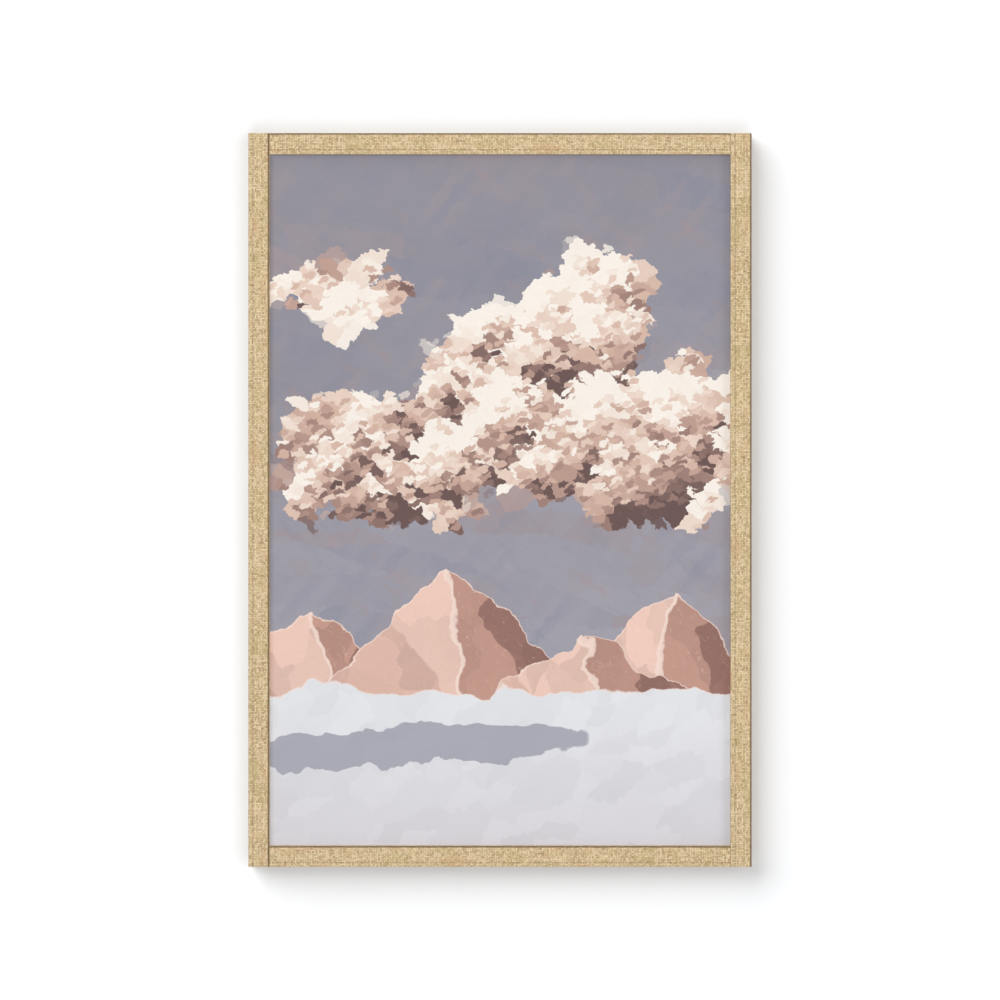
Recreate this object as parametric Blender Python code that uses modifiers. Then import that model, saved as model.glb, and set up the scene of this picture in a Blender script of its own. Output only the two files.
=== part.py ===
"""A framed canvas picture that hangs on a wall.

Four linen-wrapped mouldings make the frame, with butt joints held by dowels: the two side
mouldings run the full height. A printed canvas on a wooden stretcher sits in the frame's
rabbet and is held there by offset clips. A sawtooth hanger and two wall pads are on the back.

Metres, +Z up. The origin is where the hanger's middle notch bears on the wall nail, on the
wall's surface. The wall is the plane y = 0, and the picture faces -Y.
"""

from math import cos, radians, sin

import bmesh
import bpy
from mathutils import Matrix, Vector

MM = 0.001
GAP = 0.3 * MM
ROUND_SIDES = 16
DOME_STEPS = 3

# The picture that shows, and the frame round it
SIGHT_W = 609.6 * MM
SIGHT_H = 914.4 * MM
FACE = 28 * MM
DEPTH = 36 * MM
LIP = 7 * MM
LIP_T = 7 * MM
STEP_W = 2 * MM
STEP_D = 1 * MM
CLOTH = 0.6 * MM
CLOTH_EDGE_R = 0.6 * MM
BACK_TURN = 8 * MM
LIP_TURN = 5 * MM

# Dowels in the frame's joints
DOWEL_R = 4 * MM
DOWEL_IN_STILE = 15 * MM
DOWEL_IN_RAIL = 23 * MM
DOWEL_SPACING = 13 * MM

# The canvas and its stretcher
CANVAS_PLAY = 2 * MM
CANVAS_T = 0.5 * MM
CANVAS_EDGE_R = 1 * MM
CANVAS_TURN = 30 * MM
BAR_W = 38 * MM
BAR_T = 19 * MM
BAR_BEAD_W = 4 * MM
BAR_SLOPE = 3 * MM
BAR_EDGE_R = 0.6 * MM
TONGUE_T = 5 * MM
TONGUE_SHOULDER = 7 * MM
BRACE_T = 12 * MM
BRACE_TENON = 12 * MM
MITRE_PLAY = 0.22 * MM

# What holds the stretcher in the frame
CLIP_T = 1.2 * MM
CLIP_W = 15 * MM
CLIP_FOOT_END = 19.5 * MM
CLIP_BEND_OUT = 6 * MM
CLIP_BEND_IN = 3.5 * MM
CLIP_TOE_END = -10 * MM
CLIP_SCREW_AT = 13 * MM
CLIP_FROM_CORNER = 0.21
SCREW_R = 1.5 * MM
SCREW_L = 11 * MM
SCREW_TIP = 3 * MM
SCREW_HEAD_R = 3.2 * MM
SCREW_HEAD_T = 1.5 * MM
RECESS_L = 3.6 * MM
RECESS_W = 0.9 * MM
RECESS_T = 0.9 * MM

# The sawtooth hanger and its nails
HANGER_L = 58 * MM
HANGER_H = 9 * MM
HANGER_T = 0.8 * MM
HANGER_RISE = 1.6 * MM
HANGER_FLAT = 9 * MM
HANGER_RAMP = 5 * MM
RAMP_STEPS = 4
TOOTH_PITCH = 2.5 * MM
TOOTH_H = 1.8 * MM
TEETH = 13
NOTCH_BELOW_TOP = 18 * MM
NAIL_R = 0.9 * MM
NAIL_L = 12 * MM
NAIL_TIP = 2 * MM
NAIL_HEAD_R = 2.2 * MM
NAIL_HEAD_T = 0.9 * MM

# The wall pads, which also set how far the frame stands off the wall
PAD_OFF_WALL = 3 * MM
PAD_R = 5 * MM
PAD_EDGE_R = 0.8 * MM
PAD_FROM_BOTTOM = 40 * MM
PAD_FROM_SIGHT = 13.6 * MM

# Sizes and places that follow from those above
OUT_W = SIGHT_W + 2 * FACE
OUT_H = SIGHT_H + 2 * FACE
PICTURE_Z = NOTCH_BELOW_TOP - OUT_H / 2
SKIN = CLOTH + GAP
Y_BACK = -PAD_OFF_WALL
Y_FRONT = Y_BACK - DEPTH
Y_LIP = Y_FRONT + LIP_T
Y_WOOD_BACK = Y_BACK - SKIN
Y_CANVAS = Y_LIP + GAP
Y_BAR_FRONT = Y_CANVAS + CANVAS_T + GAP
Y_BAR_BACK = Y_BAR_FRONT + BAR_T
Y_CANVAS_BACK = Y_BAR_BACK + GAP + CANVAS_T
Y_TONGUE = (Y_BAR_FRONT + Y_BAR_BACK) / 2
Y_BRACE = Y_BAR_BACK - BRACE_T / 2
CANVAS_W = SIGHT_W + 2 * (LIP - CANVAS_PLAY)
CANVAS_H = SIGHT_H + 2 * (LIP - CANVAS_PLAY)
BAR_OUT = LIP - CANVAS_PLAY - CANVAS_T - GAP
BAR_IN = BAR_OUT - BAR_W
DOWEL_Z = (LIP + FACE) / 2
DOWEL_Y = (Y_LIP + Y_WOOD_BACK) / 2
Y_FOOT = Y_WOOD_BACK + GAP
Y_TOE = Y_CANVAS_BACK + GAP

# Each side is drawn in its own stick frame: X along the stick, Z outward from the sight edge,
# Y through the thickness. Turns are about Y.
SIDES = {
    "top": (0, (0, 0, PICTURE_Z + SIGHT_H / 2), SIGHT_W),
    "right": (90, (SIGHT_W / 2, 0, PICTURE_Z), SIGHT_H),
    "bottom": (180, (0, 0, PICTURE_Z - SIGHT_H / 2), SIGHT_W),
    "left": (-90, (-SIGHT_W / 2, 0, PICTURE_Z), SIGHT_H),
}
STILES = ("left", "right")
RAILS = ("top", "bottom")
STEP_AT_SIGHT = ("left", "bottom")


def clear_scene():
    for obj in list(bpy.data.objects):
        bpy.data.objects.remove(obj)


def new_collection(name):
    collection = bpy.data.collections.new(name)
    bpy.context.scene.collection.children.link(collection)
    return collection


def material(name, colour, roughness, metallic=0.0):
    made = bpy.data.materials.new(name)
    made.use_nodes = True
    shader = made.node_tree.nodes["Principled BSDF"]
    shader.inputs["Base Color"].default_value = (*colour, 1)
    shader.inputs["Roughness"].default_value = roughness
    shader.inputs["Metallic"].default_value = metallic
    return made


def side_matrix(side):
    turn, place, _ = SIDES[side]
    return Matrix.Translation(place) @ Matrix.Rotation(radians(turn), 4, "Y")


def to_object(bm, name, collection, finish=None, matrix=None):
    mesh = bpy.data.meshes.new(name)
    bm.to_mesh(mesh)
    bm.free()
    obj = bpy.data.objects.new(name, mesh)
    collection.objects.link(obj)
    if finish is not None:
        mesh.materials.append(finish)
    if matrix is not None:
        obj.matrix_world = matrix
    return obj


def prism_bmesh(outline, half, mitre_from=None):
    """A closed prism along X. outline is (z, y) points; a mitred end is shorter by each point's way in."""
    bm = bmesh.new()
    corners = [bm.verts.new((-half, y, z)) for z, y in outline]
    start = bm.faces.new(corners)
    run = bmesh.ops.extrude_face_region(bm, geom=[start])
    for vert in [item for item in run["geom"] if isinstance(item, bmesh.types.BMVert)]:
        vert.co.x = half
    if mitre_from is not None:
        for vert in bm.verts:
            short = mitre_from - vert.co.z
            vert.co.x -= short if vert.co.x > 0 else -short
    bmesh.ops.recalc_face_normals(bm, faces=bm.faces)
    return bm


def box(name, low, high, collection, finish=None, matrix=None):
    bm = bmesh.new()
    size = [b - a for a, b in zip(low, high)]
    middle = [(a + b) / 2 for a, b in zip(low, high)]
    place = Matrix.Translation(middle) @ Matrix.Diagonal((*size, 1))
    bmesh.ops.create_cube(bm, size=1, matrix=place)
    return to_object(bm, name, collection, finish, matrix)


def rod(name, radius, start, end, sides, collection, finish=None, matrix=None):
    """A cylinder between two points."""
    bm = bmesh.new()
    axis = Vector(end) - Vector(start)
    turn = axis.to_track_quat("Z", "Y").to_matrix().to_4x4()
    place = Matrix.Translation((Vector(start) + Vector(end)) / 2) @ turn
    bmesh.ops.create_cone(
        bm, cap_ends=True, segments=sides, radius1=radius, radius2=radius, depth=axis.length, matrix=place
    )
    return to_object(bm, name, collection, finish, matrix)


def turned(name, profile, sides, matrix, collection, finish):
    """A turned shape: (radius, y) points about an axis along Y, from its front pole to its back one."""
    bm = bmesh.new()
    verts = [bm.verts.new((radius, y, 0)) for radius, y in profile]
    for pair in zip(verts, verts[1:]):
        bm.edges.new(pair)
    obj = to_object(bm, name, collection, finish, matrix)
    modifier = obj.modifiers.new("turned", "SCREW")
    modifier.axis = "Y"
    modifier.steps = sides
    modifier.render_steps = sides
    modifier.use_merge_vertices = True
    modifier.merge_threshold = 0.01 * MM
    modifier.use_normal_flip = True
    return obj


def domed(radius, height, y):
    """(radius, y) points of a rounded end, from its rim at y to its pole."""
    arc = [radians(90 * step / DOME_STEPS) for step in range(DOME_STEPS)]
    return [(radius * cos(a), y + height * sin(a)) for a in arc] + [(0, y + height)]


def fastener(name, shank, head, y_head, matrix, collection, finish):
    """A pointed shank and a domed head. shank is (radius, length, point), head is (radius, thickness)."""
    shank_r, length, point = shank
    y_tip = y_head - length
    profile = [(0, y_tip), (shank_r, y_tip + point), (shank_r, y_head), *domed(*head, y_head)]
    return turned(name, profile, ROUND_SIDES, matrix, collection, finish)


def combine(obj, others, operation):
    for other in others:
        other.hide_render = True
        other.display_type = "WIRE"
        modifier = obj.modifiers.new(f"{operation.lower()} {other.name}", "BOOLEAN")
        modifier.operation = operation
        modifier.object = other


def cut(obj, *cutters):
    combine(obj, cutters, "DIFFERENCE")


def fuse(obj, *bodies):
    combine(obj, bodies, "UNION")


def bevel(obj, width, segments=2, by_weight=False):
    modifier = obj.modifiers.new("rounded edges", "BEVEL")
    modifier.width = width
    modifier.segments = segments
    modifier.limit_method = "WEIGHT" if by_weight else "ANGLE"


def weigh_edges(obj, chosen):
    """Marks the edges that a weighted bevel rounds: those for which chosen(edge) is true."""
    bm = bmesh.new()
    bm.from_mesh(obj.data)
    weights = bm.edges.layers.float.new("bevel_weight_edge")
    for edge in bm.edges:
        edge[weights] = 1.0 if chosen(edge) else 0.0
    bm.to_mesh(obj.data)
    bm.free()


def outer_corner(edge):
    return edge.is_manifold and edge.is_convex and edge.calc_face_angle() > radians(30)


def long_edge(edge):
    run = edge.verts[1].co - edge.verts[0].co
    return abs(run.x) > abs(run.y) + abs(run.z)


def long_outer_corner(edge):
    return outer_corner(edge) and long_edge(edge)


def solidify(obj, thickness, offset=-1):
    modifier = obj.modifiers.new("thickness", "SOLIDIFY")
    modifier.thickness = thickness
    modifier.offset = offset
    modifier.use_even_offset = True


def smooth(obj):
    """Rounds the shading, and keeps the large faces flat."""
    obj.data.shade_smooth()
    obj.data.set_sharp_from_angle(angle=radians(40))
    obj.modifiers.new("flat faces", "WEIGHTED_NORMAL")


def front_outline(side, skin):
    """The front of the section, drawn in by skin. A sunk step runs along one of its edges."""
    front, sunk = Y_FRONT + skin, Y_FRONT + STEP_D + skin
    if side in STEP_AT_SIGHT:
        step = STEP_W + skin
        return [(skin, sunk), (step, sunk), (step, front), (FACE - skin, front)]
    step = FACE - STEP_W - skin
    return [(skin, front), (step, front), (step, sunk), (FACE - skin, sunk)]


def moulding_outline(side, skin):
    """The section, drawn in by skin where cloth covers it."""
    return front_outline(side, skin) + [
        (FACE - skin, Y_BACK - skin),
        (LIP, Y_BACK - skin),
        (LIP, Y_LIP - skin),
        (skin, Y_LIP - skin),
    ]


def hollow_outline(side):
    """The room inside the cloth, open to the back between its two turned edges."""
    return front_outline(side, CLOTH) + [
        (FACE - CLOTH, Y_BACK - CLOTH),
        (FACE - BACK_TURN, Y_BACK - CLOTH),
        (FACE - BACK_TURN, Y_BACK + CLOTH),
        (LIP_TURN, Y_BACK + CLOTH),
        (LIP_TURN, Y_LIP - CLOTH),
        (CLOTH, Y_LIP - CLOTH),
    ]


def half_length(side, skin):
    """Half a moulding's length: a stile runs the full height, a rail stops at the stiles' walls."""
    sight = SIDES[side][2]
    return sight / 2 + FACE - skin if side in STILES else sight / 2 + LIP - GAP


def notch_cutters(side, name, cutters):
    """What a rail loses at each end, where the stile's lip passes in front of it."""
    start = SIDES[side][2] / 2 - GAP
    made = []
    for end, turn in (("start", -1), ("end", 1)):
        near, far = sorted((turn * start, turn * (start + 2 * FACE)))
        low = (near, Y_FRONT - LIP_T, -FACE)
        high = (far, Y_LIP + GAP, 2 * FACE)
        made.append(box(f"{name}_notch_{end}", low, high, cutters, matrix=side_matrix(side)))
    return made


def moulding_core(side, parts, cutters, finish):
    kind = "stile" if side in STILES else "rail"
    bm = prism_bmesh(moulding_outline(side, SKIN), half_length(side, SKIN))
    obj = to_object(bm, f"frame_{kind}_{side}", parts, finish, side_matrix(side))
    if side in RAILS:
        cut(obj, *notch_cutters(side, obj.name, cutters))
    return obj


def linen_wrap(side, parts, cutters, finish):
    """The cloth round a moulding: front, outer side, lip, a turn onto the back, and a stile's ends."""
    kind = "stile" if side in STILES else "rail"
    matrix = side_matrix(side)
    bm = prism_bmesh(moulding_outline(side, 0), half_length(side, 0))
    obj = to_object(bm, f"linen_{kind}_{side}", parts, finish, matrix)
    weigh_edges(obj, long_outer_corner)
    bevel(obj, CLOTH_EDGE_R, segments=3, by_weight=True)
    half = half_length(side, CLOTH) if side in STILES else half_length(side, 0) + GAP
    cut(obj, to_object(prism_bmesh(hollow_outline(side), half), f"{obj.name}_hollow", cutters, matrix=matrix))
    if side in RAILS:
        cut(obj, *notch_cutters(side, obj.name, cutters))
    smooth(obj)


def corner_dowels(cores, parts, cutters, finish):
    """Two dowels through each butt joint, and their holes in both mouldings."""
    wall = SIGHT_W / 2 + LIP
    for rail, up in (("top", 1), ("bottom", -1)):
        z = PICTURE_Z + up * (SIGHT_H / 2 + DOWEL_Z)
        for stile, out in (("left", -1), ("right", 1)):
            for place, step in (("front", -0.5), ("back", 0.5)):
                name = f"dowel_{rail}_{stile}_{place}"
                y = DOWEL_Y + step * DOWEL_SPACING
                near = (out * (wall - DOWEL_IN_RAIL), y, z)
                far = (out * (wall + DOWEL_IN_STILE), y, z)
                dowel = rod(name, DOWEL_R, near, far, ROUND_SIDES, parts, finish)
                bevel(dowel, GAP, segments=1)
                smooth(dowel)
                near = (near[0] - out * GAP, y, z)
                far = (far[0] + out * GAP, y, z)
                hole = rod(f"{name}_hole", DOWEL_R + GAP, near, far, ROUND_SIDES, cutters)
                cut(cores[rail], hole)
                cut(cores[stile], hole)


def canvas(parts, finish):
    """The canvas: its face, its four sides, and a turn onto the back of the bars."""
    bm = bmesh.new()
    depth = Y_CANVAS_BACK - Y_CANVAS
    place = Matrix.Translation((0, Y_CANVAS + depth / 2, PICTURE_Z))
    bmesh.ops.create_cube(bm, size=1, matrix=place @ Matrix.Diagonal((CANVAS_W, depth, CANVAS_H, 1)))
    back = [f for f in bm.faces if f.normal.y > 0.9]
    bmesh.ops.inset_region(bm, faces=back, thickness=CANVAS_TURN)
    bmesh.ops.delete(bm, geom=back, context="FACES")
    obj = to_object(bm, "canvas", parts, finish)
    bevel(obj, CANVAS_EDGE_R, segments=2)
    solidify(obj, CANVAS_T)
    smooth(obj)


def stretcher_bar(side, parts, finish):
    """A mitred bar, raised along its outer edge so that the canvas touches only there."""
    outline = [
        (BAR_OUT, Y_BAR_FRONT),
        (BAR_OUT - BAR_BEAD_W, Y_BAR_FRONT),
        (BAR_IN, Y_BAR_FRONT + BAR_SLOPE),
        (BAR_IN, Y_BAR_BACK),
        (BAR_OUT, Y_BAR_BACK),
    ]
    bm = prism_bmesh(outline, SIDES[side][2] / 2 + BAR_OUT - MITRE_PLAY, mitre_from=BAR_OUT)
    obj = to_object(bm, f"stretcher_{side}", parts, finish, side_matrix(side))
    weigh_edges(obj, long_edge)
    bevel(obj, BAR_EDGE_R, segments=2, by_weight=True)
    return obj


def tongue_box(side, end, grow, name, collection):
    """The tongue at one end of a horizontal bar, or with grow the slot that takes it."""
    reach = SIDES[side][2] / 2 + BAR_OUT - TONGUE_SHOULDER + grow
    root = SIDES[side][2] / 2 + BAR_IN - BAR_W / 2
    near, far = sorted((end * root, end * reach))
    low = (near, Y_TONGUE - TONGUE_T / 2 - grow, BAR_IN + TONGUE_SHOULDER - grow)
    high = (far, Y_TONGUE + TONGUE_T / 2 + grow, BAR_OUT - TONGUE_SHOULDER + grow)
    return box(name, low, high, collection, matrix=side_matrix(side))


def join_stretcher(bars, cutters):
    """Tongues on the top and bottom bars, in slots in the side bars."""
    for side, turn in (("top", 1), ("bottom", -1)):
        for stile, end in (("right", turn), ("left", -turn)):
            name = f"tongue_{side}_{stile}"
            fuse(bars[side], tongue_box(side, end, 0, name, cutters))
            cut(bars[stile], tongue_box(side, end, GAP, f"{name}_slot", cutters))


def brace(bars, parts, cutters, finish):
    """The cross brace at mid height, with a tenon in each side bar."""
    inner = SIGHT_W / 2 + BAR_IN
    half = BAR_W / 2
    low = (-(inner - GAP), Y_BRACE - BRACE_T / 2, PICTURE_Z - half)
    high = (inner - GAP, Y_BRACE + BRACE_T / 2, PICTURE_Z + half)
    obj = box("stretcher_brace", low, high, parts, finish)
    weigh_edges(obj, long_edge)
    bevel(obj, BAR_EDGE_R, segments=2, by_weight=True)
    for grow in (0, GAP):
        reach = inner + BRACE_TENON + grow
        thick = TONGUE_T / 2 + grow
        tall = half - TONGUE_SHOULDER + grow
        low = (-reach, Y_BRACE - thick, PICTURE_Z - tall)
        high = (reach, Y_BRACE + thick, PICTURE_Z + tall)
        tenon = box(f"brace_tenon_{'slot' if grow else 'body'}", low, high, cutters)
        if grow:
            cut(bars["left"], tenon)
            cut(bars["right"], tenon)
        else:
            fuse(obj, tenon)


def recess_cutters(name, y_top, matrix, cutters):
    """The two bars of the cross-shaped driver recess in a screw's head."""
    half, side = RECESS_L / 2, RECESS_W / 2
    bars = []
    for label, wide, tall in (("a", half, side), ("b", side, half)):
        low = (-wide, y_top - RECESS_T, -tall)
        high = (wide, y_top + RECESS_T, tall)
        bars.append(box(f"{name}_recess_{label}", low, high, cutters, matrix=matrix))
    return bars


def offset_clip(side, index, x, cores, parts, cutters, finish):
    """A Z-shaped plate from the frame's back down to the stretcher's back, and its screw."""
    matrix = side_matrix(side)
    foot_y, toe_y = Y_FOOT + CLIP_T / 2, Y_TOE + CLIP_T / 2
    path = [(CLIP_FOOT_END, foot_y), (CLIP_BEND_OUT, foot_y), (CLIP_BEND_IN, toe_y), (CLIP_TOE_END, toe_y)]
    bm = bmesh.new()
    line = [bm.verts.new((x - CLIP_W / 2, y, z)) for z, y in path]
    edges = [bm.edges.new(pair) for pair in zip(line, line[1:])]
    run = bmesh.ops.extrude_edge_only(bm, edges=edges)
    moved = [item for item in run["geom"] if isinstance(item, bmesh.types.BMVert)]
    bmesh.ops.translate(bm, verts=moved, vec=(CLIP_W, 0, 0))
    name = f"clip_{side}_{index}"
    clip = to_object(bm, name, parts, finish, matrix)
    bevel(clip, CLIP_T, segments=2)
    solidify(clip, CLIP_T, offset=0)
    smooth(clip)

    place = matrix @ Matrix.Translation((x, 0, CLIP_SCREW_AT))
    y_head = Y_FOOT + CLIP_T + GAP
    y_top = y_head + SCREW_HEAD_T
    shank, head = (SCREW_R, SCREW_L, SCREW_TIP), (SCREW_HEAD_R, SCREW_HEAD_T)
    screw = fastener(f"clip_screw_{side}_{index}", shank, head, y_head, place, parts, finish)
    cut(screw, *recess_cutters(screw.name, y_top, place, cutters))
    smooth(screw)
    low = (0, y_head - SCREW_L - GAP, 0)
    high = (0, y_top, 0)
    hole = rod(f"{screw.name}_hole", SCREW_R + GAP, low, high, ROUND_SIDES, cutters, matrix=place)
    cut(clip, hole)
    cut(cores[side], hole)


def hanger_rise(x):
    """How far the strip stands off the wood at x: flat ends, a ramp, and a raised middle."""
    way = (HANGER_L / 2 - HANGER_FLAT - abs(x)) / HANGER_RAMP
    way = min(max(way, 0), 1)
    return HANGER_RISE * (3 * way**2 - 2 * way**3)


def hanger_columns():
    """(x, depth of the lower edge's cut) of each column of the strip, from one end to the other."""
    teeth_half = TEETH * TOOTH_PITCH / 2
    end = HANGER_L / 2
    ramp = [end - HANGER_FLAT - HANGER_RAMP * step / RAMP_STEPS for step in range(RAMP_STEPS)]
    side = [x for x in [end, end - HANGER_FLAT / 2, *ramp] if x > teeth_half + GAP]
    columns = [(-x, 0) for x in side]
    for step in range(2 * TEETH + 1):
        columns.append((-teeth_half + step * TOOTH_PITCH / 2, TOOTH_H if step % 2 else 0))
    return columns + [(x, 0) for x in reversed(side)]


def hanger(core, parts, cutters, finish):
    """The sawtooth strip. The middle notch's tip is at z = 0, and two nails hold the ends."""
    z_low = -TOOTH_H
    z_high = z_low + HANGER_H
    bm = bmesh.new()
    last = None
    for x, tooth in hanger_columns():
        y = Y_FOOT + HANGER_T / 2 + hanger_rise(x)
        pair = (bm.verts.new((x, y, z_low + tooth)), bm.verts.new((x, y, z_high)))
        if last is not None:
            bm.faces.new((last[0], pair[0], pair[1], last[1]))
        last = pair
    bmesh.ops.recalc_face_normals(bm, faces=bm.faces)
    obj = to_object(bm, "sawtooth_hanger", parts, finish)
    solidify(obj, HANGER_T, offset=0)
    smooth(obj)
    y_head = Y_FOOT + HANGER_T + GAP
    shank, head = (NAIL_R, NAIL_L, NAIL_TIP), (NAIL_HEAD_R, NAIL_HEAD_T)
    for label, turn in (("left", -1), ("right", 1)):
        x = turn * (HANGER_L / 2 - HANGER_FLAT / 2)
        place = Matrix.Translation((x, 0, z_low + HANGER_H / 2))
        nail = fastener(f"hanger_nail_{label}", shank, head, y_head, place, parts, finish)
        smooth(nail)
        low, high = (0, y_head - NAIL_L - GAP, 0), (0, y_head, 0)
        hole = rod(f"{nail.name}_hole", NAIL_R + GAP, low, high, ROUND_SIDES, cutters, matrix=place)
        cut(obj, hole)
        cut(core, hole)


def wall_pad(side, parts, finish):
    """A round pad on the back of a stile, near the bottom. Its flat back touches the wall."""
    turn = -1 if side == "left" else 1
    x = turn * (SIGHT_W / 2 + PAD_FROM_SIGHT)
    z = PICTURE_Z - OUT_H / 2 + PAD_FROM_BOTTOM
    flat_r = PAD_R - PAD_EDGE_R
    rim = [(flat_r + r, y) for r, y in domed(PAD_EDGE_R, PAD_EDGE_R, -PAD_EDGE_R)]
    profile = [(0, Y_FOOT), (PAD_R, Y_FOOT), *rim, (0, 0)]
    place = Matrix.Translation((x, 0, z))
    smooth(turned(f"wall_pad_{side}", profile, 2 * ROUND_SIDES, place, parts, finish))


def build():
    clear_scene()
    parts = new_collection("framed picture")
    cutters = new_collection("cutters")
    linen = material("gold linen", (0.63, 0.49, 0.29), 0.55)
    frame_wood = material("frame wood", (0.60, 0.44, 0.28), 0.7)
    print_cloth = material("printed canvas", (0.30, 0.29, 0.34), 0.75)
    pine = material("stretcher pine", (0.72, 0.56, 0.36), 0.65)
    beech = material("dowel beech", (0.68, 0.50, 0.32), 0.6)
    steel = material("zinc-plated steel", (0.72, 0.72, 0.70), 0.35, metallic=1.0)
    rubber = material("wall pad rubber", (0.06, 0.06, 0.06), 0.8)

    cores = {side: moulding_core(side, parts, cutters, frame_wood) for side in SIDES}
    for side in SIDES:
        linen_wrap(side, parts, cutters, linen)
    corner_dowels(cores, parts, cutters, beech)

    canvas(parts, print_cloth)
    bars = {side: stretcher_bar(side, parts, pine) for side in SIDES}
    join_stretcher(bars, cutters)
    brace(bars, parts, cutters, pine)

    for side, (_, _, length) in SIDES.items():
        for index, turn in ((1, -1), (2, 1)):
            x = turn * length * (0.5 - CLIP_FROM_CORNER)
            offset_clip(side, index, x, cores, parts, cutters, steel)

    hanger(cores["top"], parts, cutters, steel)
    for side in STILES:
        wall_pad(side, parts, rubber)


build()
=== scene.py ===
"""A framed canvas picture that hangs on a wall.

Four linen-wrapped mouldings stand round a stretched canvas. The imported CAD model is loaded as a
fixed frame. The linen and the canvas are made again here as cloth, the staples are added, and every
piece gets its finish. Lengths are metres, +Z is up, the picture looks along -Y, and the wall behind
it is the plane y = 0.
"""

import logging
import math
import random
from dataclasses import dataclass
from enum import Enum
from typing import Callable

import bmesh
import bpy
from mathutils import Matrix, Vector, noise


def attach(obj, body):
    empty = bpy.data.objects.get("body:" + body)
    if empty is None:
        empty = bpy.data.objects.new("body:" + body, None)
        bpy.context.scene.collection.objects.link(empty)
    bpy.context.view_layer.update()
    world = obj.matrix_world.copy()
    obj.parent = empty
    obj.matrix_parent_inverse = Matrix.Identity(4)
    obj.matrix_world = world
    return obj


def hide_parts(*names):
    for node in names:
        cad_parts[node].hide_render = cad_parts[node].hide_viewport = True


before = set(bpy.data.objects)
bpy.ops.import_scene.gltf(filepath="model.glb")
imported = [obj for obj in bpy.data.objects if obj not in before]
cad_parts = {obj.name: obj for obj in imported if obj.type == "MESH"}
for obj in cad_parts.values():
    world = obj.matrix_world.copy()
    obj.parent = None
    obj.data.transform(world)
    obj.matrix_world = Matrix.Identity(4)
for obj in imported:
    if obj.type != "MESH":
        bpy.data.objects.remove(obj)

logging.basicConfig(level=logging.INFO, format="%(relativeCreated)6d ms  %(message)s")
log = logging.getLogger("framed picture")

MM = 0.001
DM = 0.1
HAIR = 0.01 * MM  # Points nearer to each other than this are at one place
FACING = 0.7  # A face looks one way if its normal has more than this along it
BODY = "root"

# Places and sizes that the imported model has, in metres
SIGHT_W = 0.6096
SIGHT_H = 0.9144
FACE = 28 * MM
LIP = 7 * MM
STEP_W = 2 * MM
STEP_D = 1 * MM
BACK_TURN = 8 * MM
LIP_TURN = 5 * MM
PICTURE_Z = -0.4672
Y_FRONT = -39 * MM
Y_BACK = -3 * MM
Y_LIP = -32 * MM
Y_CANVAS = -31.7 * MM
Y_CANVAS_BACK = -11.1 * MM
CANVAS_W = 0.6196
CANVAS_H = 0.9244
GAP = 0.3 * MM

Point = tuple[float, float, float]
Colour = tuple[float, float, float, float]


def paint(red: int, green: int, blue: int) -> Colour:
    """A colour as mixed on screen, from 0 to 255, as the linear values that a shader takes.

    Args:
        red: The red part.
        green: The green part.
        blue: The blue part.

    Returns:
        Linear red, green and blue, and an alpha of 1.
    """
    parts = [value / 255 for value in (red, green, blue)]
    linear = [v / 12.92 if v <= 0.04045 else ((v + 0.055) / 1.055) ** 2.4 for v in parts]
    return (linear[0], linear[1], linear[2], 1.0)


def same(a: float, b: float) -> bool:
    """True for two lengths that differ by less than a hair."""
    return abs(a - b) < HAIR


def between(value: float, low: float, high: float) -> bool:
    """True for a length from low to high, give or take a hair."""
    return low - HAIR < value < high + HAIR


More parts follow.
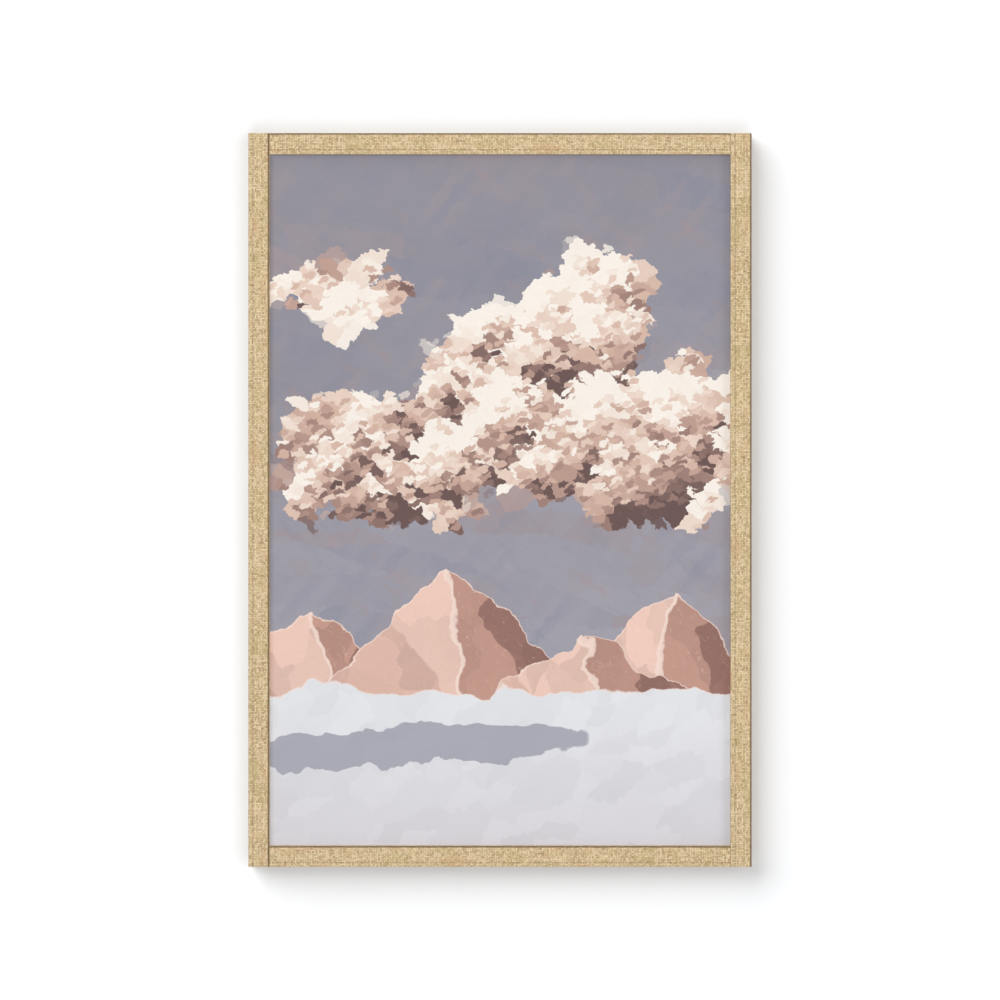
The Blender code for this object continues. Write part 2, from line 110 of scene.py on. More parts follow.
class Wire:
    """A socket's value in a shader: arithmetic on it adds the nodes that work it out."""

    def __init__(self, recipe: "Recipe", socket: bpy.types.NodeSocket) -> None:
        """Keeps the recipe that the socket belongs to, and the socket."""
        self.recipe = recipe
        self.socket = socket

    def is_number(self) -> bool:
        """True for a single number, false for a vector or a colour."""
        return self.socket.type == "VALUE"

    def work(self, operation: str, *others: "Wire | float | Point", swap: bool = False) -> "Wire":
        """One Math or Vector Math node on this value.

        Args:
            operation: The node's operation.
            others: The other inputs.
            swap: True to put this value after the others.

        Returns:
            The result.
        """
        values = [*others, self] if swap else [self, *others]
        plain = all(
            value.is_number() if isinstance(value, Wire) else isinstance(value, (int, float))
            for value in values
        )
        kind = "ShaderNodeMath" if plain else "ShaderNodeVectorMath"
        if not plain:
            values = [
                (value,) * 3 if isinstance(value, (int, float)) else value for value in values
            ]
        output = 1 if operation == "LENGTH" else 0
        return self.recipe.node(kind, {"operation": operation}, dict(enumerate(values)), output)

    def __add__(self, other: "Wire | float | Point") -> "Wire":
        """This plus the other."""
        return self.work("ADD", other)

    __radd__ = __add__

    def __sub__(self, other: "Wire | float | Point") -> "Wire":
        """This less the other."""
        return self.work("SUBTRACT", other)

    def __rsub__(self, other: "float | Point") -> "Wire":
        """The other less this."""
        return self.work("SUBTRACT", other, swap=True)

    def __mul__(self, other: "Wire | float | Point") -> "Wire":
        """This times the other."""
        return self.work("MULTIPLY", other)

    __rmul__ = __mul__

    def __truediv__(self, other: "Wire | float | Point") -> "Wire":
        """This divided by the other."""
        return self.work("DIVIDE", other)

    def __abs__(self) -> "Wire":
        """This without its sign."""
        return self.work("ABSOLUTE")

    def floor(self) -> "Wire":
        """The whole number below this."""
        return self.work("FLOOR")

    def odd(self) -> "Wire":
        """1 where this whole number is odd, or 0."""
        return abs(self.work("MODULO", 2.0))

    def ridges(self, pitch: float) -> "Wire":
        """Rounded ridges from 0 to 1, one for each pitch of this."""
        return abs((self * (math.pi / pitch)).work("SINE"))

    def highest(self, other: "Wire | float") -> "Wire":
        """The larger of this and the other."""
        return self.work("MAXIMUM", other)

    def lowest(self, other: "Wire | float") -> "Wire":
        """The smaller of this and the other."""
        return self.work("MINIMUM", other)

    def rise(self, low: float, high: float) -> "Wire":
        """0 below low and 1 above high, eased in between.

        With low above high, it falls from 1 below high to 0 above low.

        Args:
            low: Where the result is 0.
            high: Where the result is 1.

        Returns:
            The share from 0 to 1.
        """
        ends = {"From Min": min(low, high), "From Max": max(low, high)}
        if low > high:
            ends |= {"To Min": 1.0, "To Max": 0.0}
        return self.recipe.node(
            "ShaderNodeMapRange", {"interpolation_type": "SMOOTHSTEP"}, {"Value": self, **ends}
        )

    def parts(self) -> tuple["Wire", "Wire", "Wire"]:
        """The three numbers of a vector."""
        split = self.recipe.nodes("ShaderNodeSeparateXYZ", {}, {0: self})
        return split[0], split[1], split[2]


class Recipe:
    """The node tree of one material, or of the world."""

    MIX_SOCKETS = {"FLOAT": (2, 3, 0), "VECTOR": (4, 5, 1), "RGBA": (6, 7, 2)}

    def __init__(self, name: str, world: bool = False) -> None:
        """Starts an empty recipe.

        Args:
            name: The material's or the world's name.
            world: True for the world, false for a material.
        """
        self.owner = (bpy.data.worlds if world else bpy.data.materials).new(name)
        self.owner.use_nodes = True
        self.output = "ShaderNodeOutputWorld" if world else "ShaderNodeOutputMaterial"
        self.tree = self.owner.node_tree
        self.tree.nodes.clear()

    def nodes(self, kind: str, settings: dict, inputs: dict) -> list[Wire]:
        """Adds one node.

        Args:
            kind: The node's type.
            settings: What is set on the node first; "stops" is a ramp's list of (place, colour).
            inputs: Each socket's name or number, and its value or wire.

        Returns:
            A wire from each of its outputs.
        """
        made = self.tree.nodes.new(kind)
        for name, value in settings.items():
            if name == "stops":
                ramp = made.color_ramp.elements
                for spot in range(len(value) - len(ramp)):
                    ramp.new(1.0)
                for element, (place, colour) in zip(ramp, value):
                    element.position, element.color = place, colour
            else:
                setattr(made, name, value)
        for name, value in inputs.items():
            if isinstance(value, Wire):
                self.tree.links.new(value.socket, made.inputs[name])
            else:
                made.inputs[name].default_value = value
        return [Wire(self, socket) for socket in made.outputs]

    def node(self, kind: str, settings: dict, inputs: dict, output: int = 0) -> Wire:
        """Adds one node and gives the wire from one of its outputs."""
        return self.nodes(kind, settings, inputs)[output]

    def object_place(self) -> Wire:
        """Object coordinates, in metres."""
        return self.node("ShaderNodeTexCoord", {}, {}, 3)

    def cloth_place(self, layer: str) -> Wire:
        """The place on the flat cloth, in metres, from the piece's own UV map."""
        return self.node("ShaderNodeUVMap", {"uv_map": layer}, {})

    def vector(self, x: Wire | float, y: Wire | float, z: Wire | float = 0.0) -> Wire:
        """A vector from three numbers."""
        return self.node("ShaderNodeCombineXYZ", {}, {0: x, 1: y, 2: z})

    def mix(self, share: Wire | float, a: Wire | Colour | float, b: Wire | Colour | float) -> Wire:
        """Between a and b by share.

        Args:
            share: 0 for a and 1 for b.
            a: A number, vector or colour.
            b: The same kind as a.

        Returns:
            The blend.
        """
        kinds = []
        for value in (a, b):
            if isinstance(value, Wire):
                kinds.append(value.socket.type)
            elif isinstance(value, tuple):
                kinds.append("RGBA" if len(value) == 4 else "VECTOR")
        kind = next((kind for kind in ("RGBA", "VECTOR") if kind in kinds), "FLOAT")
        first, second, out = self.MIX_SOCKETS[kind]
        return self.node("ShaderNodeMix", {"data_type": kind}, {0: share, first: a, second: b}, out)

    def tinted(self, colour: Wire, amount: Wire) -> Wire:
        """A colour made lighter or darker.

        Args:
            colour: The colour.
            amount: A number about 1 that multiplies it.

        Returns:
            The new colour.
        """
        return self.node(
            "ShaderNodeMix",
            {"data_type": "RGBA", "blend_type": "MULTIPLY"},
            {0: 1.0, 6: colour, 7: self.vector(amount, amount, amount)},
            2,
        )

    def noise(self, place: Wire, scale: float, detail: float = 2.0, roughness: float = 0.5) -> Wire:
        """Soft noise from 0 to 1 about 0.5.

        Args:
            place: Where.
            scale: Waves for each unit of place.
            detail: Finer waves on top.
            roughness: How strong the finer ones are.

        Returns:
            The noise.
        """
        return self.node(
            "ShaderNodeTexNoise",
            {"noise_dimensions": "3D"},
            {"Vector": place, "Scale": scale, "Detail": detail, "Roughness": roughness},
        )

    def chance(self, place: Wire) -> Wire:
        """A random number from 0 to 1 for each place."""
        return self.node("ShaderNodeTexWhiteNoise", {"noise_dimensions": "3D"}, {"Vector": place})

    def wobble(self, place: Wire, scale: float, roughness: float) -> Wire:
        """Soft noise on a flat place, as three numbers from 0 to 1 about 0.5."""
        inputs = {"Vector": place, "Scale": scale, "Detail": 2.0, "Roughness": roughness}
        return self.node("ShaderNodeTexNoise", {"noise_dimensions": "2D"}, inputs, 1)

    def cells(
        self, place: Wire, scale: float, spread: float = 1.0, flat: bool = True
    ) -> list[Wire]:
        """Irregular cells.

        Args:
            place: Where.
            scale: Cells for each unit of place.
            spread: How irregular they are, from 0 to 1.
            flat: True to leave out the third number of the place.

        Returns:
            How far the place lies from its cell's middle, a random colour for each cell, and the
            middle.
        """
        settings = {"voronoi_dimensions": "2D" if flat else "3D", "feature": "F1"}
        inputs = {"Vector": place, "Scale": scale, "Randomness": spread}
        return self.nodes("ShaderNodeTexVoronoi", settings, inputs)[:3]

    def turned(self, place: Wire, angle: float) -> Wire:
        """A place turned about Z by an angle in radians."""
        inputs = {"Vector": place, "Angle": angle}
        return self.node("ShaderNodeVectorRotate", {"rotation_type": "Z_AXIS"}, inputs)

    def bump(self, height: Wire, distance: float, strength: float) -> Wire:
        """A normal from a height of about 0 to 1, where 1 stands for the distance in metres."""
        inputs = {"Strength": strength, "Distance": distance, "Height": height}
        return self.node("ShaderNodeBump", {}, inputs)

    def finish(self, values: dict) -> bpy.types.Material:
        """Ends the recipe in a Principled shader with these values or wires on its sockets."""
        return self.end(self.node("ShaderNodeBsdfPrincipled", {}, values))

    def end(self, shader: Wire) -> bpy.types.Material | bpy.types.World:
        """Links a shader to the output, and gives the material or the world."""
        self.nodes(self.output, {}, {"Surface": shader})
        return self.owner


@dataclass(frozen=True)
class Weave:
    """A plain weave: which thread lies where, and how each rounds over."""

    column: Wire
    row: Wire
    odd: Wire
    warp_round: Wire
    weft_round: Wire

    @classmethod
    def laid(cls, across: Wire, along: Wire, warp: float, weft: float) -> "Weave":
        """Lays threads of these pitches, from the place across and along the warp."""
        column, row = (across / warp).floor(), (along / weft).floor()
        return cls(column, row, (column + row).odd(), across.ridges(warp), along.ridges(weft))

    def over(self) -> Wire:
        """How high the thread on top rounds, from 0 to 1."""
        return self.odd * self.warp_round + (1.0 - self.odd) * self.weft_round


@dataclass(frozen=True)
class GoldLinen:
    """Champagne-gold linen: coarse, with slubs, painted shade in a dark band along the stepped long
    edge, and two darker threads.

    On the cloth's own map, U runs across the stick from the step, and V along it.
    """

    name: str
    edge_shade_from: float
    edge_shade_to: float
    layer: str = "cloth"
    warp: float = 2.05 * MM
    weft: float = 2.3 * MM
    wander: float = 0.5 * MM
    ground: Colour = paint(195, 172, 131)
    light: Colour = paint(232, 211, 173)
    shade: Colour = paint(167, 138, 90)
    rosy: Colour = paint(207, 170, 130)
    olive: Colour = paint(184, 166, 112)
    dark_fleck_and_gap_shade: Colour = paint(132, 101, 58)
    dark: Colour = paint(104, 76, 40)
    # Painted shade along the step's long edge, and the lighter flecks in it
    edge_shade: Colour = paint(116, 92, 59)
    shade_fleck: Colour = paint(168, 142, 102)
    dark_thread_at: float = 23.0 * MM
    dark_thread_half: tuple[float, float] = (0.35 * MM, 0.95 * MM)
    faint_thread_at: float = 11.3 * MM
    faint_thread_half: tuple[float, float] = (0.3 * MM, 0.9 * MM)
    # How the painted edge shade wavers and how softly it ends
    edge_shade_waver: float = 0.9 * MM
    edge_shade_soft: float = 0.45 * MM
    edge_shade_end_soft: float = 0.25 * MM
    relief: float = 0.35 * MM

    def material(self) -> bpy.types.Material:
        """Makes the material.

        Returns:
            The material.
        """
        r = Recipe(self.name)
        place = r.cloth_place(self.layer)
        across, along, _ = place.parts()
        across = across + (r.noise(place, 60.0) - 0.5) * self.wander
        along = along + (r.noise(place + (3.1, 0.0, 0.0), 60.0) - 0.5) * self.wander
        weave = Weave.laid(across, along, self.warp, self.weft)
        over = weave.over()
        # Each thread has its own tint, which drifts along it
        warp_tint = r.noise(r.vector(weave.column * 7.31, along * 55.0, 2.0), 1.0, 2.0, 0.6)
        weft_tint = r.noise(r.vector(across * 75.0, weave.row * 5.17, 9.0), 1.0, 2.0, 0.6)
        tint = r.mix(weave.odd, weft_tint, warp_tint)
        fibre = r.noise(r.vector(across * 1500.0, along * 1500.0), 1.0, 2.0, 0.7)
        patch = r.noise(place, 32.0)
        square = r.chance(r.vector(weave.column, weave.row, 3.0))
        slub = self.slubs(r, weave, across, along)
        # Thread crowns painted lighter and low parts darker: painted light on the weave, over each
        # thread's own tint
        tone = (tint - 0.5) * 1.9 + (fibre - 0.5) * 0.6 + (patch - 0.5) * 0.35
        tone = tone + (over - 0.6) * 0.7 + (square - 0.5) * 0.5
        colour = r.mix((tone + 0.12).rise(0.0, 0.62), self.ground, self.light)
        colour = r.mix((tone * -1.0 + 0.02).rise(0.0, 0.6), colour, self.shade)
        hue = r.noise(r.vector(across * 70.0, along * 24.0, 7.0), 1.0, 2.0, 0.6)
        colour = r.mix(hue.rise(0.52, 0.68) * 0.5, colour, self.rosy)
        colour = r.mix(hue.rise(0.46, 0.32) * 0.5, colour, self.olive)
        # Painted highlights on slubs and on a few squares, a few squares darker at random, and
        # painted shade in the gaps between threads
        colour = r.mix(slub * 0.6, colour, self.light)
        colour = r.mix(square.rise(0.1, 0.02) * 0.75, colour, self.light)
        colour = r.mix(square.rise(0.87, 0.97) * 0.6, colour, self.dark_fleck_and_gap_shade)
        gap = (weave.warp_round + weave.weft_round).rise(0.75, 0.1)
        colour = r.mix(gap * (square * 0.75 + 0.2), colour, self.dark_fleck_and_gap_shade)
        # Painted shade in a dark band along the sunk step
        colour = self.paint_edge_shade(r, self.dark_threads(r, colour, across, along), across, along)
        height = over * 0.55 + tint * 0.25 + slub * 0.25 + fibre * 0.1
        return r.finish(
            {
                "Base Color": colour,
                "Roughness": r.mix(over, 0.78, 0.55),
                "Specular IOR Level": 0.35,
                "Sheen Weight": 0.12,
                "Sheen Roughness": 0.5,
                "Normal": r.bump(height, self.relief, 0.8),
            }
        )

    def slubs(self, r: Recipe, weave: Weave, across: Wire, along: Wire) -> Wire:
        """The thick stretches of the threads.

        Args:
            r: The recipe.
            weave: The weave.
            across: The place across the stick.
            along: The place along it.

        Returns:
            1 on a slub, or 0.
        """
        warp = r.noise(r.vector(weave.column * 3.77, along * 85.0, 4.0), 1.0, 1.0)
        weft = r.noise(r.vector(across * 85.0, weave.row * 2.91, 6.0), 1.0, 1.0)
        return r.mix(weave.odd, weft.rise(0.6, 0.71), warp.rise(0.61, 0.72))

    def dark_threads(self, r: Recipe, colour: Wire, across: Wire, along: Wire) -> Wire:
        """Lays a broken dark thread along the stick, and a fainter one.

        Args:
            r: The recipe.
            colour: The cloth's colour.
            across: The place across the stick.
            along: The place along it.

        Returns:
            The colour with the threads.
        """
        dash = r.noise(r.vector(0.0, along * 260.0, 1.0), 1.0, 2.0, 0.7).rise(0.42, 0.6)
        core, rim = self.dark_thread_half
        line = abs(across - self.dark_thread_at).rise(rim, core)
        colour = r.mix(line * (dash * 0.5 + 0.14), colour, self.dark)
        core, rim = self.faint_thread_half
        line = abs(across - self.faint_thread_at).rise(rim, core)
        return r.mix(line * dash * 0.24, colour, self.dark)

    def paint_edge_shade(self, r: Recipe, colour: Wire, across: Wire, along: Wire) -> Wire:
        """Darkens the long edge at the step with painted shade, with lighter flecks in it.

        Args:
            r: The recipe.
            colour: The cloth's colour.
            across: The place across the stick.
            along: The place along it.

        Returns:
            The colour with the worn edge.
        """
        # Painted shade: a dark band from the step, with a wavering end
        waver = r.noise(r.vector(1.0, along * 70.0, 8.0), 1.0, 3.0, 0.6) - 0.5
        end = across + waver * self.edge_shade_waver
        edge_shade = end.rise(self.edge_shade_to + self.edge_shade_end_soft, self.edge_shade_to - self.edge_shade_end_soft)
        soft = self.edge_shade_soft
        edge_shade = edge_shade * across.rise(self.edge_shade_from - soft, self.edge_shade_from + soft)
        shade_fleck = r.noise(r.vector(across * 400.0, along * 190.0, 3.0), 1.0, 2.0, 0.6)
        edge = r.mix(shade_fleck.rise(0.45, 0.85), self.edge_shade, self.shade_fleck)
        return r.mix(edge_shade * 0.94, colour, edge)


@dataclass(frozen=True)
class Stroke:
    """One layer of brush strokes: their length and width, angle in degrees, cover and seed."""

    length: float
    width: float
    angle: float
    cover: float
    seed: float


@dataclass(frozen=True)
class Peak:
    """A hill: its top's place, how it widens to each side, and where its folds run."""

    across: float
    top: float
    left: float
    right: float
    fold: float
    spur: float


@dataclass(frozen=True)
class Landscape:
    """A made-up landscape in broken strokes: a cloud bank over faceted hills, and a pale shore.

    Its places and sizes are decimetres from the picture's middle.
    """

    name: str = "printed canvas"
    sky_top: Colour = paint(139, 137, 147)
    sky_low: Colour = paint(155, 153, 163)
    smear_warm: Colour = paint(153, 141, 146)
    smear_cool: Colour = paint(130, 132, 148)
    drag_warm: Colour = paint(160, 137, 136)
    far_ridge: Colour = paint(139, 127, 134)
    shore: Colour = paint(219, 220, 224)
    shore_near: Colour = paint(209, 207, 212)
    pool: Colour = paint(161, 162, 173)
    hill_lit: Colour = paint(222, 188, 174)
    hill_mid: Colour = paint(181, 140, 126)
    hill_dark: Colour = paint(143, 105, 96)
    hill_edge: Colour = paint(236, 213, 202)
    cloud_tones: tuple[tuple[float, Colour], ...] = (
        (0.0, paint(101, 78, 76)),
        (0.14, paint(141, 112, 104)),
        (0.3, paint(176, 143, 131)),
        (0.46, paint(205, 174, 158)),
        (0.62, paint(224, 202, 188)),
        (0.8, paint(238, 230, 221)),
    )
    clouds: tuple[tuple[float, float, float, float], ...] = (
        (-1.55, 0.55, 1.5, 0.85),
        (0.45, 1.25, 1.6, 1.35),
        (2.1, 0.8, 1.3, 1.15),
        (1.15, 2.5, 0.95, 0.85),
        (-2.0, 2.75, 0.95, 0.36),
    )
    cloud_base: float = -0.35
    puffs: tuple[tuple[float, float], ...] = ((1.05, 0.62), (2.3, 0.34))
    peaks: tuple[Peak, ...] = (
        Peak(2.35, -1.2, 1.25, 0.9, -0.3, 0.35),
        Peak(-2.5, -1.45, 1.1, 1.5, 0.2, 0.7),
        Peak(-0.75, -0.85, 0.95, 1.3, 0.18, 0.66),
        Peak(1.1, -1.8, 1.7, 1.9, 0.3, 1.0),
    )
    far_ridge_up: float = -2.05
    shore_line: float = -2.5
    shore_foot: float = -4.4
    pool_middle: tuple[float, float] = (-1.3, -3.22)
    pool_squeeze: tuple[float, float] = (0.42, 1 / 0.27)
    pool_slope: float = 0.05
    washes: tuple[Stroke, ...] = (
        Stroke(1.7, 0.36, 9, 1.0, 3.0),
        Stroke(0.95, 0.2, -52, 0.8, 8.0),
    )
    dabs: tuple[Stroke, ...] = (
        Stroke(0.44, 0.24, -38, 1.0, 11.0),
        Stroke(0.34, 0.15, 36, 0.72, 23.0),
        Stroke(0.2, 0.1, -20, 0.5, 37.0),
    )
    brush_turn: float = 0.7
    drag_waves: Point = (0.9, 3.6, 0.0)
    mark_waves: Point = (9.0, 34.0, 0.0)
    outline: float = 0.01
    weave: tuple[float, float] = (0.62 * MM, 0.68 * MM)
    relief: float = 0.12 * MM

    def material(self) -> bpy.types.Material:
        """Makes the material: the picture's strokes, and the canvas's weave through them.

        Returns:
            The material.
        """
        r = Recipe(self.name)
        x, _, z = r.object_place().parts()
        place = r.vector(x / DM, (z - PICTURE_Z) / DM)
        shake, sway = r.wobble(place, 7.0, 0.6) - 0.5, r.wobble(place, 1.15, 0.55) - 0.5
        shaken, drawn = place + shake * 0.16, place + shake * 0.07 + sway * 0.55
        brushed = r.turned(shaken, self.brush_turn)
        drag = r.noise(brushed * self.drag_waves, 1.0, 5.0, 0.68)
        marks = r.noise(brushed * self.mark_waves, 1.0, 3.0, 0.7)
        colour, jitter = self.cloud_bank(r, shaken, self.sky(r, shaken, drag), marks)
        colour = self.hills(r, drawn, colour, marks)
        colour = self.foreground(r, drawn, colour, jitter * 0.75 + drag * 0.5 - 0.12)
        weave = x.ridges(self.weave[0]).highest(z.ridges(self.weave[1]))
        uneven = r.noise(r.vector(x * 40.0, z * 260.0), 1.0, 1.0)
        # Random tint by stroke, and weave crowns painted a touch lighter: painted light on the
        # canvas weave
        colour = r.tinted(r.tinted(colour, 0.985 + jitter * 0.03), 0.985 + weave * 0.02)
        return r.finish(
            {
                "Base Color": colour,
                "Roughness": 0.62 + uneven * 0.14,
                "Specular IOR Level": 0.3,
                "Normal": r.bump(weave * 0.6 + uneven * 0.4, self.relief, 0.6),
            }
        )

    def strokes(self, r: Recipe, place: Wire, stroke: Stroke) -> tuple[Wire, Wire, Wire, Wire]:
        """One layer of strokes.

        Args:
            r: The recipe.
            place: Where on the picture.
            stroke: The layer.

        Returns:
            The middle of the stroke there, how far out in it the place lies, its random number, and
            its bristle marks.
        """
        turn, seed = math.radians(stroke.angle), (stroke.seed, stroke.seed, 0.0)
        turned = r.turned(place, turn)
        flat = turned * (1 / stroke.length, 1 / stroke.width, 0.0) + seed
        far, tint, middle = r.cells(flat, 1.0, 0.85)
        middle = r.turned((middle - seed) * (stroke.length, stroke.width, 0.0), -turn)
        bristle = r.noise(turned * (1.1 / stroke.length, 8 / stroke.width, 0.0), 1.0, 1.0, 0.6)
        return middle, far, tint.parts()[0], bristle

    def sky(self, r: Recipe, place: Wire, drag: Wire) -> Wire:
        """The sky's colour, in broad washes with faint smears.

        Args:
            r: The recipe.
            place: Where on the picture.
            drag: The marks of a dry brush.

        Returns:
            The colour.
        """
        colour = None
        for wash in self.washes:
            middle, far, jitter, bristle = self.strokes(r, place, wash)
            across, up, _ = middle.parts()
            drift = r.noise(middle, 0.5)
            tone = (up + across * -0.3 + (drift - 0.5) * 5.0).rise(-3.0, 3.5)
            laid = r.mix(tone, self.sky_low, self.sky_top)
            laid = r.mix(jitter.rise(0.62, 1.0) * 0.75, laid, self.smear_warm)
            laid = r.mix(jitter.rise(0.3, 0.0) * 0.6, laid, self.smear_cool)
            laid = r.tinted(laid, 0.965 + bristle * 0.07)
            if colour is None:
                colour = laid
            else:
                shown = (far + (bristle - 0.5) * 0.5).rise(0.62, 0.2)
                colour = r.mix(shown * 0.6, colour, laid)
        colour = r.mix(drag.rise(0.54, 0.74) * 0.5, colour, self.drag_warm)
        return r.mix(drag.rise(0.47, 0.3) * 0.4, colour, self.smear_cool)

    def cloud_bank(
        self, r: Recipe, place: Wire, colour: Wire, marks: Wire
    ) -> tuple[Wire, Wire]:
        """Lays the clouds over the sky, dab by dab.

        Args:
            r: The recipe.
            place: Where on the picture.
            colour: The sky.
            marks: The fine marks of the bristles.

        Returns:
            The colour with the clouds, and the random number of each stroke of the first layer.
        """
        first = None
        for dab in self.dabs:
            middle, far, jitter, bristle = self.strokes(r, place, dab)
            cover, laid = self.cloud(r, middle, jitter)
            laid = r.tinted(laid, 0.91 + bristle * 0.09 + marks * 0.09)
            if dab.cover < 1:
                rim = dab.cover * 0.75
                cover = cover * (far + (bristle - 0.5) * 0.3).rise(rim + 0.05, rim - 0.02)
            colour = r.mix(cover, colour, laid)
            first = jitter if first is None else first
        return colour, first

    def cloud(self, r: Recipe, place: Wire, jitter: Wire) -> tuple[Wire, Wire]:
        """The cloud bank, as round puffs lit from the upper left.

        Args:
            r: The recipe.
            place: Where on the picture.
            jitter: A random number for each stroke.

        Returns:
            Its cover and its colour.
        """
        depth = None
        for x, z, wide, high in self.clouds:
            out = ((place - (x, z, 0.0)) * (1 / wide, 1 / high, 0.0)).work("LENGTH")
            depth = out if depth is None else depth.work("SMOOTH_MIN", out, 0.3)
        light, bulge = 0.56, 0.0
        for scale, strength in self.puffs:
            far, _, middle = r.cells(place, scale, 0.9)
            lean_x, lean_z, _ = (place - middle).parts()
            light = (lean_z - lean_x * 0.8) * (scale * strength) + light
            bulge = (0.45 - far) * (strength * 0.9) + bulge
        _, up, _ = place.parts()
        depth = (1.0 - depth + bulge).lowest((up - self.cloud_base) * 1.2 + bulge * 1.5)
        light = light + up.rise(self.cloud_base, 2.8) * 0.34 - up.rise(0.4, self.cloud_base) * 0.3
        light = light - 0.14 + (jitter - 0.5) * 0.44
        colour = r.node("ShaderNodeValToRGB", {"stops": self.cloud_tones}, {0: light})
        return depth.rise(0.0, 0.04), colour

    def hills(self, r: Recipe, place: Wire, colour: Wire, marks: Wire) -> Wire:
        """Lays the hills over what is behind them, each with lit, middle and dark facets.

        Args:
            r: The recipe.
            place: Where on the picture.
            colour: What is behind them.
            marks: The fine marks of the bristles.

        Returns:
            The colour with the hills.
        """
        line = self.outline
        across, up, _ = place.parts()
        patch = r.cells(place * (1.0, 0.7, 0.0), 2.6)[1].parts()[0]
        waves = r.noise(r.vector(across, 0.0, 5.0), 0.9) - 0.5
        ridge = up - self.far_ridge_up - waves * 0.9
        colour = r.mix(ridge.rise(2 * line, -2 * line) * 0.85, colour, self.far_ridge)
        for peak in self.peaks:
            drop, side = peak.top - up, across - peak.across
            left, right = drop * peak.left + side, drop * peak.right - side
            inside = left.lowest(right)
            fold, spur = side - drop * peak.fold, side - drop * peak.spur
            low = fold + drop * 0.9 - 1.0
            facet = r.mix(fold.rise(-line, line), self.hill_lit, self.hill_mid)
            facet = r.mix(spur.rise(-line, line) * low.rise(-line, line), facet, self.hill_dark)
            crease = (fold + 0.35 - low * 0.45).rise(line, -line)
            facet = r.mix(crease * 0.4, facet, self.hill_mid)
            facet = r.tinted(facet, 0.85 + patch * 0.2 + marks * 0.1)
            facet = r.mix(marks.rise(0.6, 0.7) * 0.3, facet, self.hill_edge)
            edge = abs(fold).lowest(abs(inside)).rise(0.035, 0.015)
            facet = r.mix(edge * 0.8, facet, self.hill_edge)
            colour = r.mix(inside.rise(-line, line), colour, facet)
        return colour

    def foreground(self, r: Recipe, place: Wire, colour: Wire, tint: Wire) -> Wire:
        """Lays the pale shore and its blue-grey pool over what is behind them.

        Args:
            r: The recipe.
            place: Where on the picture.
            colour: What is behind them.
            tint: A number from 0 to 1 that lightens the strokes.

        Returns:
            The colour with the shore.
        """
        across, up, _ = place.parts()
        near = r.mix(up.rise(self.shore_line, self.shore_foot), self.shore, self.shore_near)
        near = r.tinted(near, 0.95 + tint * 0.07)
        reach = (across - self.pool_middle[0]) * self.pool_squeeze[0]
        breadth = up - self.pool_middle[1] - across * self.pool_slope
        breadth = breadth * self.pool_squeeze[1]
        near = r.mix((reach * reach + breadth * breadth).rise(1.04, 0.96), near, self.pool)
        line = abs(up - self.shore_line).rise(0.03, 0.01)
        near = r.mix(line * 0.6, near, self.hill_edge)
        return r.mix((self.shore_line - up).rise(-0.01, 0.015), colour, near)


@dataclass(frozen=True)
class CottonDuck:
    """Plain canvas, raw on the picture's back or primed white where it turns round the bars."""

    name: str
    ground: Colour
    shade: Colour
    layer: str = "cloth"
    pitch: float = 0.75 * MM
    fleck: Colour = paint(160, 138, 104)
    relief: float = 0.16 * MM

    def material(self) -> bpy.types.Material:
        """Makes the material, with its weave on the cloth's own map.

        Returns:
            The material.
        """
        r = Recipe(self.name)
        place = r.cloth_place(self.layer)
        across, along, _ = place.parts()
        weave = Weave.laid(across, along, self.pitch, self.pitch)
        over = weave.over()
        threads = r.noise(r.vector(weave.column * 3.3, along * 60.0, 1.0), 1.0, 2.0, 0.6)
        threads = threads + r.noise(r.vector(across * 60.0, weave.row * 4.7, 5.0), 1.0, 2.0, 0.6)
        patch = r.noise(place, 9.0, 3.0)
        fleck = r.noise(r.vector(across * 900.0, along * 300.0), 1.0, 1.0).rise(0.72, 0.8)
        # Thread crowns painted a little lighter: painted light on the weave, with the threads' own
        # tints
        tone = (threads - 1.0) * 0.9 + (patch - 0.5) * 0.6 + (over - 0.6) * 0.35
        colour = r.mix((tone + 0.3).rise(0.0, 0.8), self.shade, self.ground)
        return r.finish(
            {
                "Base Color": r.mix(fleck * 0.5, colour, self.fleck),
                "Roughness": 0.9,
                "Specular IOR Level": 0.2,
                "Sheen Weight": 0.1,
                "Normal": r.bump(over * 0.7 + threads * 0.2, self.relief, 0.8),
            }
        )


class Grain(Enum):
    """The way that a stick's grain runs."""

    UPRIGHT = "upright"
    ACROSS = "across"


